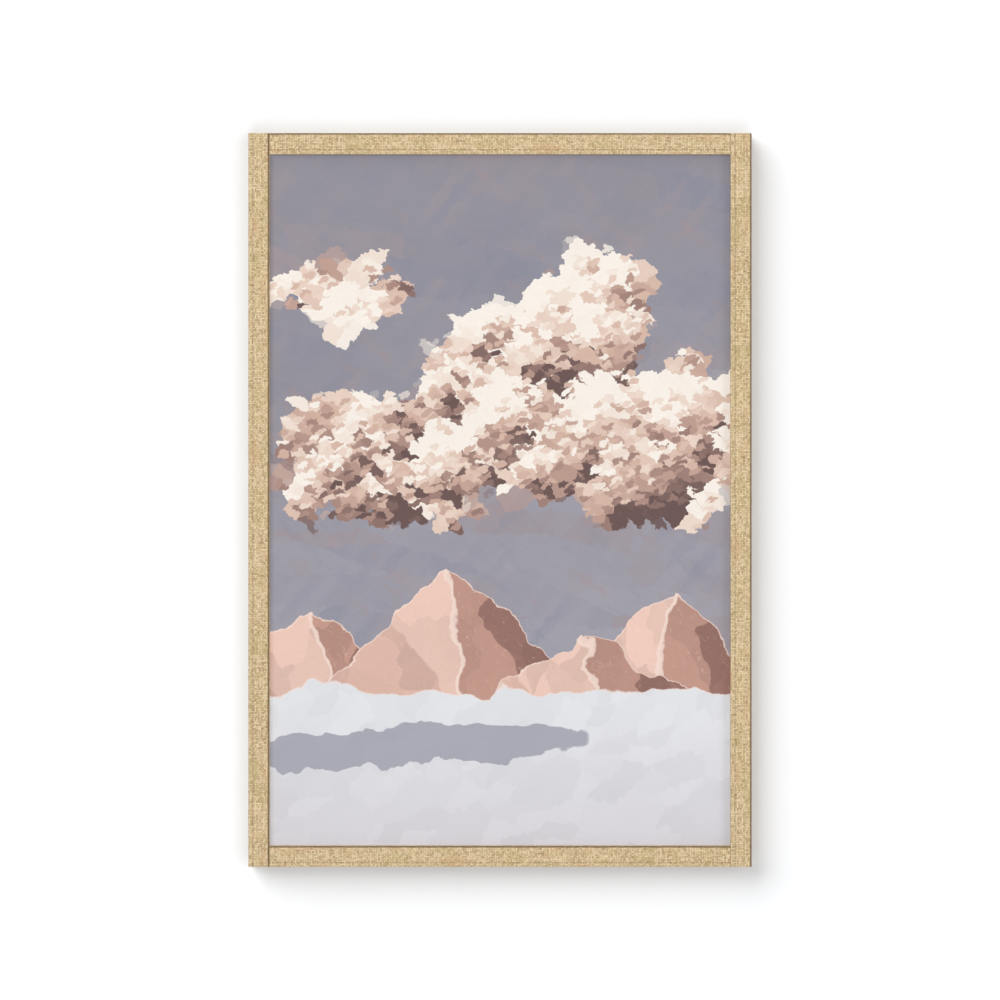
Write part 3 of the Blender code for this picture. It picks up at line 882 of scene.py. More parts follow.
@dataclass(frozen=True)
class Softwood:
    """Planed wood whose rings run along the stick."""

    name: str
    grain: Grain
    early: Colour
    late: Colour
    heart: tuple[float, float] = (0.02, 0.06)
    rings: float = 260.0
    knots: float = 1.0
    knot: Colour = paint(118, 74, 44)
    relief: float = 0.09 * MM

    def material(self) -> bpy.types.Material:
        """Makes the material on Object coordinates, with the grain along the stick.

        Returns:
            The material.
        """
        r = Recipe(self.name)
        x, y, z = r.object_place().parts()
        length, side = (z, x) if self.grain is Grain.UPRIGHT else (x, z)
        sway = r.noise(r.vector(length * 2.2, side * 6.0, y * 6.0), 1.0) - 0.5
        knot_place = r.vector(length * 3.0, side * 9.0, y * 9.0)
        knot_far = r.cells(knot_place, 1.0, flat=False)[0]
        knot = knot_far.rise(0.2, 0.05) * self.knots
        bend = knot_far.rise(0.55, 0.0) * (0.012 * self.knots)
        # The rings are circles round the tree's heart, which lies outside the stick
        ring_x = side + self.heart[0] + sway * 0.03 + bend
        ring_y = y + self.heart[1] + sway * 0.02
        radius = (ring_x * ring_x + ring_y * ring_y).work("SQRT")
        ring = (radius * self.rings + length * 1.4).work("FRACT")
        late = ring.rise(0.35, 0.92) * ring.rise(1.0, 0.94)
        fibre = r.noise(r.vector(length * 28.0, side * 1400.0, y * 1400.0), 1.0, 2.0, 0.6)
        pore = r.noise(r.vector(length * 70.0, side * 2600.0, y * 2600.0), 1.0, 1.0)
        pore = pore.rise(0.62, 0.75)
        patch = r.noise(r.vector(length * 5.0, side * 14.0, y * 14.0), 1.0)
        colour = r.mix(late * 0.72, self.early, self.late)
        colour = r.tinted(colour, 0.9 + fibre * 0.14 + patch * 0.1)
        colour = r.mix(pore * 0.18, colour, self.late)
        return r.finish(
            {
                "Base Color": r.mix(knot * 0.75, colour, self.knot),
                "Roughness": r.mix(late, 0.72, 0.58),
                "Specular IOR Level": 0.35,
                "Normal": r.bump(fibre * 0.5 + late * 0.4 - pore * 0.2, self.relief, 0.7),
            }
        )


@dataclass(frozen=True)
class ZincSteel:
    """Bright zinc on pressed steel, with a faint spangle and fine scratches."""

    name: str = "zinc steel"
    tone: Colour = paint(196, 199, 203)
    dulled: Colour = paint(150, 150, 148)
    relief: float = 0.03 * MM

    def material(self) -> bpy.types.Material:
        """Makes the material on Object coordinates.

        Returns:
            The material.
        """
        r = Recipe(self.name)
        place = r.object_place()
        spangle = r.cells(place, 420.0, flat=False)[1].parts()[0]
        scratch = r.noise(place * (300.0, 2600.0, 2600.0), 1.0, 2.0, 0.6)
        dull = r.noise(place, 160.0, 3.0)
        colour = r.mix(dull * 0.4, self.tone, self.dulled)
        return r.finish(
            {
                "Base Color": r.tinted(colour, 0.9 + spangle * 0.16),
                "Metallic": 1.0,
                "Roughness": 0.26 + dull * 0.2 + scratch * 0.12 + spangle * 0.06,
                "Normal": r.bump(scratch * 0.5 + dull, self.relief, 0.5),
            }
        )


@dataclass(frozen=True)
class PadRubber:
    """Grey rubber of a wall pad, with a fine moulded grain and a little dust."""

    name: str = "pad rubber"
    tone: Colour = paint(62, 60, 58)
    dust: Colour = paint(120, 116, 108)
    relief: float = 0.05 * MM

    def material(self) -> bpy.types.Material:
        """Makes the material on Object coordinates.

        Returns:
            The material.
        """
        r = Recipe(self.name)
        place = r.object_place()
        grain = r.noise(place, 2600.0, 3.0, 0.7)
        dust = r.noise(place, 380.0, 3.0).rise(0.5, 0.75)
        colour = r.mix(dust * 0.35, self.tone, self.dust)
        return r.finish(
            {
                "Base Color": r.tinted(colour, 0.9 + grain * 0.2),
                "Roughness": 0.82 + grain * 0.12,
                "Specular IOR Level": 0.3,
                "Normal": r.bump(grain, self.relief, 0.7),
            }
        )


def coat(obj: bpy.types.Object, *finishes: bpy.types.Material) -> None:
    """Gives a piece its finishes.

    Args:
        obj: The piece.
        finishes: Its finishes, in the order of its material slots.
    """
    obj.data.materials.clear()
    for finish in finishes:
        obj.data.materials.append(finish)


class Workpiece:
    """A mesh worked in edit mode as by hand, at its place with its object at the origin."""

    def __init__(
        self,
        name: str,
        size: Point,
        place: Point,
        solid: bool = False,
        cuts: tuple[int, int] = (0, 0),
    ) -> None:
        """Adds the primitive that the piece starts from.

        Args:
            name: The piece's name.
            size: Its size along X, Y and Z. A flat piece has no size along Y and looks along -Y.
            place: Its middle.
            solid: True for a block, false for a flat sheet.
            cuts: A flat sheet's cuts along X and along Z.
        """
        bpy.ops.object.select_all(action="DESELECT")
        if solid:
            bpy.ops.mesh.primitive_cube_add(size=1)
        else:
            bpy.ops.mesh.primitive_grid_add(
                size=1, x_subdivisions=cuts[0] + 1, y_subdivisions=cuts[1] + 1
            )
            bpy.context.object.rotation_euler = (math.radians(90), 0, 0)
            bpy.ops.object.transform_apply(rotation=True)
        self.obj = bpy.context.object
        self.obj.name = self.obj.data.name = name
        self.obj.scale = [length or 1.0 for length in size]
        self.obj.location = place
        bpy.ops.object.transform_apply(location=True, scale=True)

    def done(self) -> None:
        """Leaves edit mode."""
        if bpy.context.mode != "OBJECT":
            bpy.ops.object.mode_set(mode="OBJECT")

    def select(self) -> None:
        """Makes this the only selected object."""
        self.done()
        bpy.ops.object.select_all(action="DESELECT")
        self.obj.select_set(True)
        bpy.context.view_layer.objects.active = self.obj

    def pick(self, kind: str, test: Callable[[object], bool]) -> None:
        """Selects edges, faces or vertices by a test, and stays in edit mode.

        Args:
            kind: "EDGE", "FACE" or "VERT".
            test: True for each element that is wanted.
        """
        self.select()
        bpy.ops.object.mode_set(mode="EDIT")
        bpy.ops.mesh.select_mode(type=kind)
        bpy.ops.mesh.select_all(action="DESELECT")
        bm = bmesh.from_edit_mesh(self.obj.data)
        elements = {"EDGE": bm.edges, "FACE": bm.faces, "VERT": bm.verts}[kind]
        for element in [element for element in elements if test(element)]:
            element.select_set(True)
        bmesh.update_edit_mesh(self.obj.data)

    def pull(self, *moves: Point) -> None:
        """Extrudes the selected edges by each move in turn."""
        for move in moves:
            bpy.ops.mesh.extrude_edges_move(TRANSFORM_OT_translate={"value": move})

    def bevel(self, width: float, segments: int) -> None:
        """Rounds the selected edges."""
        bpy.ops.mesh.bevel(offset=width, offset_type="OFFSET", segments=segments, affect="EDGES")

    def round_by(
        self, radius: Callable[[bmesh.types.BMEdge], float], widest: float, segments: int
    ) -> None:
        """Rounds edges, each by its own radius.

        Args:
            radius: The radius of an edge, or zero.
            widest: The largest radius.
            segments: How many flats make up each rounding.
        """
        layer = "bevel_weight_edge"
        self.pick("EDGE", lambda edge: False)
        bm = bmesh.from_edit_mesh(self.obj.data)
        weight = bm.edges.layers.float.new(layer)
        for edge in bm.edges:
            edge[weight] = radius(edge) / widest
        bmesh.update_edit_mesh(self.obj.data)
        settings = {"limit_method": "WEIGHT", "use_clamp_overlap": False}
        self.apply("BEVEL", width=widest, segments=segments, **settings)
        self.obj.data.attributes.remove(self.obj.data.attributes[layer])

    def subdivide(self, cuts: int) -> None:
        """Cuts the selected edges, and the faces between them."""
        bpy.ops.mesh.subdivide(number_cuts=cuts)

    def merge(self) -> None:
        """Welds what lies at one place."""
        self.pick("VERT", lambda vert: True)
        bpy.ops.mesh.remove_doubles(threshold=HAIR)

    def face_out(self, towards: Point) -> None:
        """Turns the faces of an open shell so that its furthest one that way looks that way.

        Args:
            towards: The way.
        """
        way = Vector(towards)
        self.pick("FACE", lambda face: True)
        bpy.ops.mesh.normals_make_consistent(inside=False)
        self.done()
        furthest = max(self.obj.data.polygons, key=lambda face: face.center.dot(way))
        if furthest.normal.dot(way) < 0:
            self.pick("FACE", lambda face: True)
            bpy.ops.mesh.flip_normals()
        self.done()

    def apply(self, kind: str, **settings: object) -> None:
        """Adds a modifier and applies it.

        Args:
            kind: The modifier's type.
            settings: Its values.
        """
        self.select()
        modifier = self.obj.modifiers.new(kind.lower(), kind)
        for name, value in settings.items():
            setattr(modifier, name, value)
        bpy.ops.object.modifier_apply(modifier=modifier.name)

    def smooth(self, degrees: float) -> None:
        """Shades the piece smooth, but for edges sharper than that."""
        self.select()
        bpy.ops.object.shade_smooth_by_angle(angle=math.radians(degrees))

    def turn_into_place(self, matrix: Matrix) -> None:
        """Moves a piece drawn in a stick's own frame to its place.

        Args:
            matrix: From the stick's frame to the picture's.
        """
        self.select()
        self.obj.matrix_world = matrix
        bpy.ops.object.transform_apply(location=True, rotation=True, scale=True)

    def map_cloth(
        self, layer: str, flat: Callable[[Vector, bpy.types.MeshPolygon], tuple[float, float]]
    ) -> None:
        """Gives the piece a UV map in metres.

        Args:
            layer: The map's name.
            flat: The place on the flat cloth of a point, by the point and its face.
        """
        mesh = self.obj.data
        while mesh.uv_layers:
            mesh.uv_layers.remove(mesh.uv_layers[0])
        uv = mesh.uv_layers.new(name=layer)
        for face in mesh.polygons:
            for loop in face.loop_indices:
                point = mesh.vertices[mesh.loops[loop].vertex_index].co
                uv.data[loop].uv = flat(point, face)


class Side(Enum):
    """A side of the frame: its turn about Y in degrees, and its sight edge's middle."""

    TOP = (0, 0.0, PICTURE_Z + SIGHT_H / 2)
    RIGHT = (90, SIGHT_W / 2, PICTURE_Z)
    BOTTOM = (180, 0.0, PICTURE_Z - SIGHT_H / 2)
    LEFT = (-90, -SIGHT_W / 2, PICTURE_Z)

    @property
    def label(self) -> str:
        """The side's name in the CAD model."""
        return self.name.lower()

    @property
    def is_stile(self) -> bool:
        """True for the two uprights, which run the full height."""
        return self in (Side.LEFT, Side.RIGHT)

    @property
    def stick(self) -> str:
        """The moulding's share of the names in the CAD model."""
        return f"{'stile' if self.is_stile else 'rail'}_{self.label}"

    @property
    def step_at_sight(self) -> bool:
        """True where the sunk step runs along the sight edge, false where it is outside."""
        return self in (Side.LEFT, Side.BOTTOM)

    def matrix(self) -> Matrix:
        """From the stick's own frame, with X along it and Z outwards from the sight edge."""
        turn, x, z = self.value
        return Matrix.Translation((x, 0, z)) @ Matrix.Rotation(math.radians(turn), 4, "Y")


@dataclass
class LinenWrap:
    """The cloth round one moulding, glued to its front, sides and lip and turned onto its back.

    It is drawn in the stick's frame: X runs along it, Z outwards from the sight edge.
    """

    side: Side
    thickness: float = 0.3 * MM
    edge_radius: float = 0.9 * MM
    step_radius: float = 0.33 * MM
    rounding_flats: int = 3
    run_cuts: int = 160
    front_cuts: int = 5
    unevenness: float = 0.1 * MM
    waves: tuple[float, float] = (45.0, 140.0)
    fine_wave: float = 0.6
    seed_step: float = 7.0
    butt_gap: float = 0.1 * MM
    short: float = 1 * MM
    smooth_below: float = 50.0
    piece: Workpiece | None = None

    @property
    def half(self) -> float:
        """Half the length of the cloth's front."""
        return SIGHT_H / 2 + FACE if self.side.is_stile else SIGHT_W / 2 - self.butt_gap

    @property
    def pass_depth(self) -> float:
        """The depth past which a rail runs on behind a stile's lip."""
        return Y_LIP if self.side.is_stile else Y_LIP + GAP

    @property
    def tongue(self) -> float:
        """How far a rail's cloth runs on behind the stile's lip."""
        return LIP - GAP + self.butt_gap

    def section(self) -> list[tuple[float, float]]:
        """The section's corners, from the lip's back round the front to the back.

        Returns:
            The (z, y) of each.
        """
        sunk = Y_FRONT + STEP_D
        if self.side.step_at_sight:
            face = [(0, sunk), (STEP_W, sunk), (STEP_W, Y_FRONT), (FACE, Y_FRONT)]
        else:
            face = [(0, Y_FRONT), (FACE - STEP_W, Y_FRONT), (FACE - STEP_W, sunk), (FACE, sunk)]
        back = [(FACE, self.pass_depth), (FACE, Y_BACK), (FACE - BACK_TURN, Y_BACK)]
        return [(LIP_TURN, Y_LIP), (0, Y_LIP), *face, *back]

    def build(self) -> Workpiece:
        """Models the cloth, and moves it to its place.

        Returns:
            The piece.
        """
        corners = self.section()
        low, high = (STEP_W, FACE) if self.side.step_at_sight else (0.0, FACE - STEP_W)
        size, middle = (2 * self.half, 0, high - low), (0, Y_FRONT, (low + high) / 2)
        cloth = Workpiece(f"linen_wrap_{self.side.label}", size, middle)
        start = corners.index((low, Y_FRONT))
        self.pull_chain(cloth, corners[start::-1])
        self.pull_chain(cloth, corners[start + 1 :])
        if self.side.is_stile:
            self.cover_ends(cloth)
        else:
            self.run_behind(cloth)
        cloth.merge()
        self.round_edges(cloth)
        self.divide(cloth)
        cloth.face_out((0, -1, 0))
        self.settle(cloth)
        cloth.apply("SOLIDIFY", thickness=self.thickness, offset=-1.0, use_even_offset=True)
        cloth.map_cloth("cloth", self.flat_place)
        cloth.smooth(self.smooth_below)
        cloth.turn_into_place(self.side.matrix())
        self.piece = cloth
        return cloth

    def pull_chain(self, cloth: Workpiece, corners: list[tuple[float, float]]) -> None:
        """Extrudes the long edge at the first corner on through the others.

        Args:
            cloth: The piece.
            corners: The section's corners, as (z, y).
        """
        cloth.pick("EDGE", lambda edge: edge.is_boundary and self.lies_at(edge, corners[:1]))
        for (za, ya), (zb, yb) in zip(corners, corners[1:]):
            cloth.pull((0, yb - ya, zb - za))
        cloth.done()

    def cover_ends(self, cloth: Workpiece) -> None:
        """Turns the cloth over the ends of a stile, past its lip, and onto its back.

        Args:
            cloth: The piece.
        """
        sunk, before_lip = Y_FRONT + STEP_D, Y_LIP - self.short
        cloth.pick("FACE", lambda face: True)
        bpy.ops.mesh.bisect(plane_co=(0, sunk, 0), plane_no=(0, 1, 0))
        for across in (LIP, FACE - BACK_TURN):
            cloth.pick("FACE", lambda face: face.calc_center_median().y < before_lip)
            bpy.ops.mesh.bisect(plane_co=(0, 0, across), plane_no=(0, 0, 1))
        for way in (-1, 1):
            end = way * self.half
            for depth, low, high, move in (
                (Y_FRONT, 0.0, FACE, (0, STEP_D, 0)),
                (sunk, 0.0, FACE, (0, Y_LIP - sunk, 0)),
                (Y_LIP, LIP, FACE, (0, Y_BACK - Y_LIP, 0)),
                (Y_BACK, LIP, FACE - BACK_TURN, (-way * BACK_TURN, 0, 0)),
            ):
                self.pick_end_row(cloth, end, (depth, depth), (low, high))
                cloth.pull(move)
                cloth.merge()

    def run_behind(self, cloth: Workpiece) -> None:
        """Runs a rail's side and back turn on behind the lips of the stiles.

        Args:
            cloth: The piece.
        """
        for way in (-1, 1):
            depths, across = (self.pass_depth, Y_BACK), (FACE - BACK_TURN, FACE)
            self.pick_end_row(cloth, way * self.half, depths, across)
            cloth.pull((way * self.tongue, 0, 0))
            cloth.done()

    def pick_end_row(
        self,
        cloth: Workpiece,
        end: float,
        depths: tuple[float, float],
        across: tuple[float, float],
    ) -> None:
        """Selects the free edges of an end.

        Args:
            cloth: The piece.
            end: The end's X.
            depths: The lowest and highest Y that they lie between.
            across: The lowest and highest Z.
        """

        def in_row(vert: bmesh.types.BMVert) -> bool:
            """True for a point of the row."""
            x, y, z = vert.co
            return between(x, end, end) and between(y, *depths) and between(z, *across)

        cloth.pick("EDGE", lambda edge: edge.is_boundary and all(map(in_row, edge.verts)))

    def round_edges(self, cloth: Workpiece) -> None:
        """Rounds the cloth over the edges of the wood.

        Args:
            cloth: The piece.
        """
        corners = self.section()
        step = corners[4 if self.side.step_at_sight else 3]
        long_edges = [corners[1], corners[2], corners[5], corners[7]]

        def radius(edge: bmesh.types.BMEdge) -> float:
            """The radius of the wood under an edge, or zero.

            Args:
                edge: The edge.

            Returns:
                The radius.
            """
            if self.lies_at(edge, long_edges):
                return self.edge_radius
            return self.step_radius if self.lies_at(edge, [step]) or self.rims_end(edge) else 0.0

        cloth.round_by(radius, self.edge_radius, self.rounding_flats)

    def rims_end(self, edge: bmesh.types.BMEdge) -> bool:
        """Tells whether an edge lies between a stile's end and its front, sides or back.

        Args:
            edge: The edge.

        Returns:
            True where it does.
        """
        at_end = all(same(abs(vert.co.x), self.half) for vert in edge.verts)
        faces_end = [abs(face.normal.x) > FACING for face in edge.link_faces]
        return at_end and len(faces_end) == 2 and sum(faces_end) == 1

    def lies_at(self, edge: bmesh.types.BMEdge, corners: list[tuple[float, float]]) -> bool:
        """Tells whether an edge runs along the stick at one of the section's corners.

        Args:
            edge: The edge.
            corners: The corners, as (z, y).

        Returns:
            True where it does.
        """
        a, b = (vert.co for vert in edge.verts)
        if abs(a.x - b.x) < self.short or abs(a.z - b.z) + abs(a.y - b.y) > HAIR:
            return False
        return any(same(a.z, z) and same(a.y, y) for z, y in corners)

    def divide(self, cloth: Workpiece) -> None:
        """Cuts the cloth across, often enough to lie a little unevenly.

        Args:
            cloth: The piece.
        """
        for test, cuts in ((self.runs_along, self.run_cuts), (self.crosses_front, self.front_cuts)):
            cloth.pick("EDGE", test)
            cloth.subdivide(cuts)
            cloth.done()

    def runs_along(self, edge: bmesh.types.BMEdge) -> bool:
        """True for an edge along the whole stick."""
        return abs(edge.verts[0].co.x - edge.verts[1].co.x) > self.half

    def crosses_front(self, edge: bmesh.types.BMEdge) -> bool:
        """True for an edge across the front's wide part."""
        a, b = (vert.co for vert in edge.verts)
        return abs(a.z - b.z) > FACE / 2 and same(a.x, b.x)

    def settle(self, cloth: Workpiece) -> None:
        """Lets the glued cloth lie a little unevenly, as by hand.

        Args:
            cloth: The piece.
        """
        seed = Vector((self.seed_step * list(Side).index(self.side), 0.0, 0.0))
        broad, fine = self.waves
        for vert in cloth.obj.data.vertices:
            wave = noise.noise(vert.co * broad + seed)
            wave += self.fine_wave * noise.noise(vert.co * fine + seed)
            vert.co -= vert.normal * (abs(wave) * self.unevenness)

    def flat_place(self, point: Vector, face: bpy.types.MeshPolygon) -> tuple[float, float]:
        """Where a point lies on the flat cloth.

        Args:
            point: The point.
            face: The face that it is a corner of.

        Returns:
            How far it lies from the step across the stick, and its place along it.
        """
        depth = Y_BACK - Y_FRONT
        along = point.x
        if self.side.is_stile and abs(face.normal.x) > FACING:
            along = math.copysign(self.half + point.y - Y_FRONT, point.x)
            reach = LIP_TURN + (Y_LIP - Y_FRONT) + point.z
        elif self.side.is_stile and self.is_end_turn(face.center):
            along = math.copysign(2 * self.half - abs(point.x) + depth, point.x)
            reach = LIP_TURN + (Y_LIP - Y_FRONT) + point.z
        else:
            reach = self.reach(point)
        if self.side.step_at_sight:
            return reach - (LIP_TURN + Y_LIP - Y_FRONT - STEP_D), along
        return self.length() - reach - (BACK_TURN + depth - STEP_D), along

    def reach(self, point: Vector) -> float:
        """How far round the section a point lies, from the lip's back.

        Args:
            point: The point.

        Returns:
            The run up to the place of the section that is nearest to it.
        """
        corners = self.section()
        best, reach, run = math.inf, 0.0, 0.0
        for (za, ya), (zb, yb) in zip(corners, corners[1:]):
            length = math.hypot(zb - za, yb - ya)
            share = ((point.z - za) * (zb - za) + (point.y - ya) * (yb - ya)) / length**2
            share = min(1.0, max(0.0, share))
            away = math.hypot(
                point.z - za - share * (zb - za), point.y - ya - share * (yb - ya)
            )
            if away < best - HAIR / 100:  # Of two places as near, the first counts
                best, reach = away, run + share * length
            run += length
        return reach

    def is_end_turn(self, point: Vector) -> bool:
        """True for a point of a stile's end where it is turned onto the back."""
        inside = point.y > Y_BACK - 2 * self.thickness and point.z < FACE - BACK_TURN
        return inside and abs(point.x) > self.half - BACK_TURN

    def length(self) -> float:
        """The whole run of the section."""
        corners = self.section()
        return sum(math.hypot(b[0] - a[0], b[1] - a[1]) for a, b in zip(corners, corners[1:]))

    def dress(self, finish: bpy.types.Material) -> None:
        """Args:
            finish: The linen.
        """
        obj, stick = self.piece.obj, self.side.stick
        coat(obj, finish)
        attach(obj, BODY)
        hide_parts(f"linen_{stick}")
        ends = Y_BACK - Y_FRONT + BACK_TURN if self.side.is_stile else self.tongue
        flat = (self.length(), 2 * (self.half + ends))


@dataclass
class Staple:
    """A staple as driven: its crown, and the start of its legs."""

    crown: float = 10 * MM
    wire: tuple[float, float] = (0.55 * MM, 0.9 * MM)
    stands_out: float = 0.3 * MM
    bend_at: float = 4.4 * MM
    leg: float = 1.4 * MM
    edge_radius: float = 0.14 * MM
    smooth_below: float = 40.0

    def build(self) -> Workpiece:
        """Models the staple at the origin, with its crown along X.

        Returns:
            The piece.
        """
        size = (self.crown, *self.wire)
        staple = Workpiece("staple", size, (0, self.stands_out, 0), solid=True)
        staple.pick("EDGE", lambda edge: not same(edge.verts[0].co.x, edge.verts[1].co.x))
        staple.subdivide(4)
        staple.done()
        # The cuts lie a fifth of the crown apart, and the outer pair moves to where the legs start
        for vert in staple.obj.data.vertices:
            if same(abs(vert.co.x), 0.3 * self.crown):
                vert.co.x = math.copysign(self.bend_at, vert.co.x)
        staple.pick("FACE", self.is_foot)
        bpy.ops.mesh.extrude_faces_move(TRANSFORM_OT_shrink_fatten={"value": self.leg})
        staple.done()
        staple.apply("BEVEL", width=self.edge_radius, segments=1, limit_method="ANGLE")
        staple.smooth(self.smooth_below)
        return staple

    def is_foot(self, face: bmesh.types.BMFace) -> bool:
        """True for a face that a leg grows from."""
        return face.normal.y < -FACING and abs(face.calc_center_median().x) > self.bend_at


@dataclass
class StretchedCanvas:
    """The printed canvas: its face, its sides, its turned edges and the staples in them."""

    thickness: float = 0.45 * MM
    turn: float = 30 * MM
    edge_radius: float = 0.8 * MM
    rounding_flats: int = 3
    turns_past: float = 40.0
    primed_past: float = 60.0
    smooth_below: float = 50.0
    cuts: tuple[int, int] = (48, 72)
    sag: float = 0.12 * MM
    ripple: float = 0.3 * MM
    ripple_wave: float = 7.0
    bars: tuple[str, ...] = (
        "stretcher_left", "stretcher_right", "stretcher_top", "stretcher_bottom"
    )
    staple_pitch: float = 58 * MM
    staple_margin: float = 30 * MM
    staple_inset: float = 21 * MM
    staple_stray: tuple[float, float, float] = (4 * MM, 1.5 * MM, 9.0)
    staple_seed: int = 11
    piece: Workpiece | None = None

    def build(self, finishes: list[bpy.types.Material]) -> None:
        """Models the canvas.

        Args:
            finishes: The printed face, the primed edges and the raw back.
        """
        size, middle = (CANVAS_W, 0, CANVAS_H), (0, Y_CANVAS, PICTURE_Z)
        cloth = Workpiece("printed_canvas", size, middle, cuts=self.cuts)
        cloth.pick("EDGE", lambda edge: edge.is_boundary)
        cloth.pull((0, Y_CANVAS_BACK - Y_CANVAS, 0))
        cloth.done()
        for out_x, out_z in ((-1, 0), (1, 0), (0, -1), (0, 1)):
            self.turn_back(cloth, out_x, out_z)
        cloth.merge()
        cloth.pick("EDGE", self.is_corner)
        cloth.bevel(self.edge_radius, self.rounding_flats)
        cloth.done()
        cloth.face_out((0, -1, 0))
        coat(cloth.obj, *finishes)
        self.prime(cloth)
        self.slacken(cloth)
        slots = {"material_offset": 2, "material_offset_rim": 1}
        wall = {"thickness": self.thickness, "offset": -1.0, "use_even_offset": True}
        cloth.apply("SOLIDIFY", **wall, **slots)
        cloth.map_cloth("cloth", self.flat_place)
        cloth.smooth(self.smooth_below)
        self.piece = cloth
        log.info("%s: %d faces", cloth.obj.name, len(cloth.obj.data.polygons))

    def turn_back(self, cloth: Workpiece, out_x: int, out_z: int) -> None:
        """Turns one side's edge onto the back of the bars, with its ends folded in.

        Args:
            cloth: The piece.
            out_x: -1 or 1 for a side edge, or 0.
            out_z: -1 or 1 for the lower or upper edge, or 0.
        """
        edge_x, edge_z = out_x * CANVAS_W / 2, out_z * CANVAS_H / 2

        def on_side(vert: bmesh.types.BMVert) -> bool:
            """True for a point of this side's back edge."""
            at_side = same(vert.co.x, edge_x) if out_x else same(vert.co.z - PICTURE_Z, edge_z)
            return at_side and same(vert.co.y, Y_CANVAS_BACK)

        cloth.pick("EDGE", lambda edge: edge.is_boundary and all(map(on_side, edge.verts)))
        cloth.pull((-out_x * self.turn, 0, -out_z * self.turn))
        cloth.done()
        keep_x, keep_z = CANVAS_W / 2 - self.turn, CANVAS_H / 2 - self.turn
        for vert in cloth.obj.data.vertices:
            if not same(vert.co.y, Y_CANVAS_BACK):
                continue
            if out_x and same(vert.co.x, out_x * keep_x):
                vert.co.z = PICTURE_Z + max(-keep_z, min(keep_z, vert.co.z - PICTURE_Z))
            if out_z and same(vert.co.z - PICTURE_Z, out_z * keep_z):
                vert.co.x = max(-keep_x, min(keep_x, vert.co.x))

    def is_corner(self, edge: bmesh.types.BMEdge) -> bool:
        """True for an edge where the canvas turns."""
        return edge.is_manifold and edge.calc_face_angle(0.0) > math.radians(self.turns_past)

    def prime(self, cloth: Workpiece) -> None:
        """Gives the sides and the turned edges their own finish.

        Args:
            cloth: The piece.
        """
        printed = math.cos(math.radians(self.primed_past))
        for face in cloth.obj.data.polygons:
            face.material_index = 0 if -face.normal.y > printed else 1

    def slacken(self, cloth: Workpiece) -> None:
        """Lets the canvas sag a little towards the wall between its bars.

        Args:
            cloth: The piece.
        """
        for vert in cloth.obj.data.vertices:
            if abs(vert.co.y - Y_CANVAS) > 5 * HAIR:
                continue
            x, z = vert.co.x / (CANVAS_W / 2), (vert.co.z - PICTURE_Z) / (CANVAS_H / 2)
            hollow = max(0.0, 1 - x**4) * max(0.0, 1 - z**4)
            wave = noise.noise(Vector((vert.co.x, 0, vert.co.z)) * self.ripple_wave)
            vert.co.y += hollow * (self.sag + self.ripple * (0.5 + 0.5 * wave))

    def flat_place(self, point: Vector, face: bpy.types.MeshPolygon) -> tuple[float, float]:
        """Where a point lies on the flat cloth.

        Args:
            point: The point.
            face: The face that it is a corner of.

        Returns:
            Its place across and up the cloth, from the picture's middle.
        """
        x, z = point.x, point.z - PICTURE_Z
        depth = point.y - Y_CANVAS
        if abs(face.normal.x) > FACING:
            x += math.copysign(depth, x)
        elif abs(face.normal.z) > FACING:
            z += math.copysign(depth, z)
        return x, z

    def declare(self) -> None:
        """Puts the canvas on the body and hides the CAD model's canvas."""
        obj = self.piece.obj
        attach(obj, BODY)
        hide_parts("canvas")

    def staple_places(self) -> list[Matrix]:
        """Where the staples sit, at an even pitch round the turned edges, each a little astray.

        Returns:
            The place and turn of each.
        """
        rng = random.Random(self.staple_seed)
        stray_along, stray_in, stray_turn = self.staple_stray
        half_w, half_h = CANVAS_W / 2, CANVAS_H / 2
        places = []
        for upright, half, side in ((False, half_w, half_h), (True, half_h, half_w)):
            run = 2 * (half - self.staple_margin)
            count = round(run / self.staple_pitch)
            for way in (-1, 1):
                for number in range(count + 1):
                    along = (number / count - 0.5) * run + rng.uniform(-stray_along, stray_along)
                    out = side - self.staple_inset + rng.uniform(-stray_in, stray_in)
                    turn = (90 if upright else 0) + rng.uniform(-stray_turn, stray_turn)
                    x, z = (way * out, along) if upright else (along, way * out)
                    place = Matrix.Translation((x, Y_CANVAS_BACK, PICTURE_Z + z))
                    places.append(place @ Matrix.Rotation(math.radians(turn), 4, "Y"))
        return places

    def staples(self, finish: bpy.types.Material) -> None:
        """The staples that hold the turned edges to the bars, as one piece.

        Args:
            finish: Their metal.
        """
        pattern = Staple().build()
        copies = []
        for place in self.staple_places():
            copy = pattern.obj.copy()
            copy.data = pattern.obj.data.copy()
            bpy.context.scene.collection.objects.link(copy)
            copy.matrix_world = place
            copies.append(copy)
        bpy.data.objects.remove(pattern.obj)
        bpy.ops.object.select_all(action="DESELECT")
        for copy in copies:
            copy.select_set(True)
        bpy.context.view_layer.objects.active = copies[0]
        bpy.ops.object.transform_apply(location=True, rotation=True, scale=True)
        bpy.ops.object.join()
        staples = bpy.context.object
        staples.name = staples.data.name = "canvas_staples"
        coat(staples, finish)
        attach(staples, BODY)
        log.info("%s: %d staples", staples.name, len(copies))


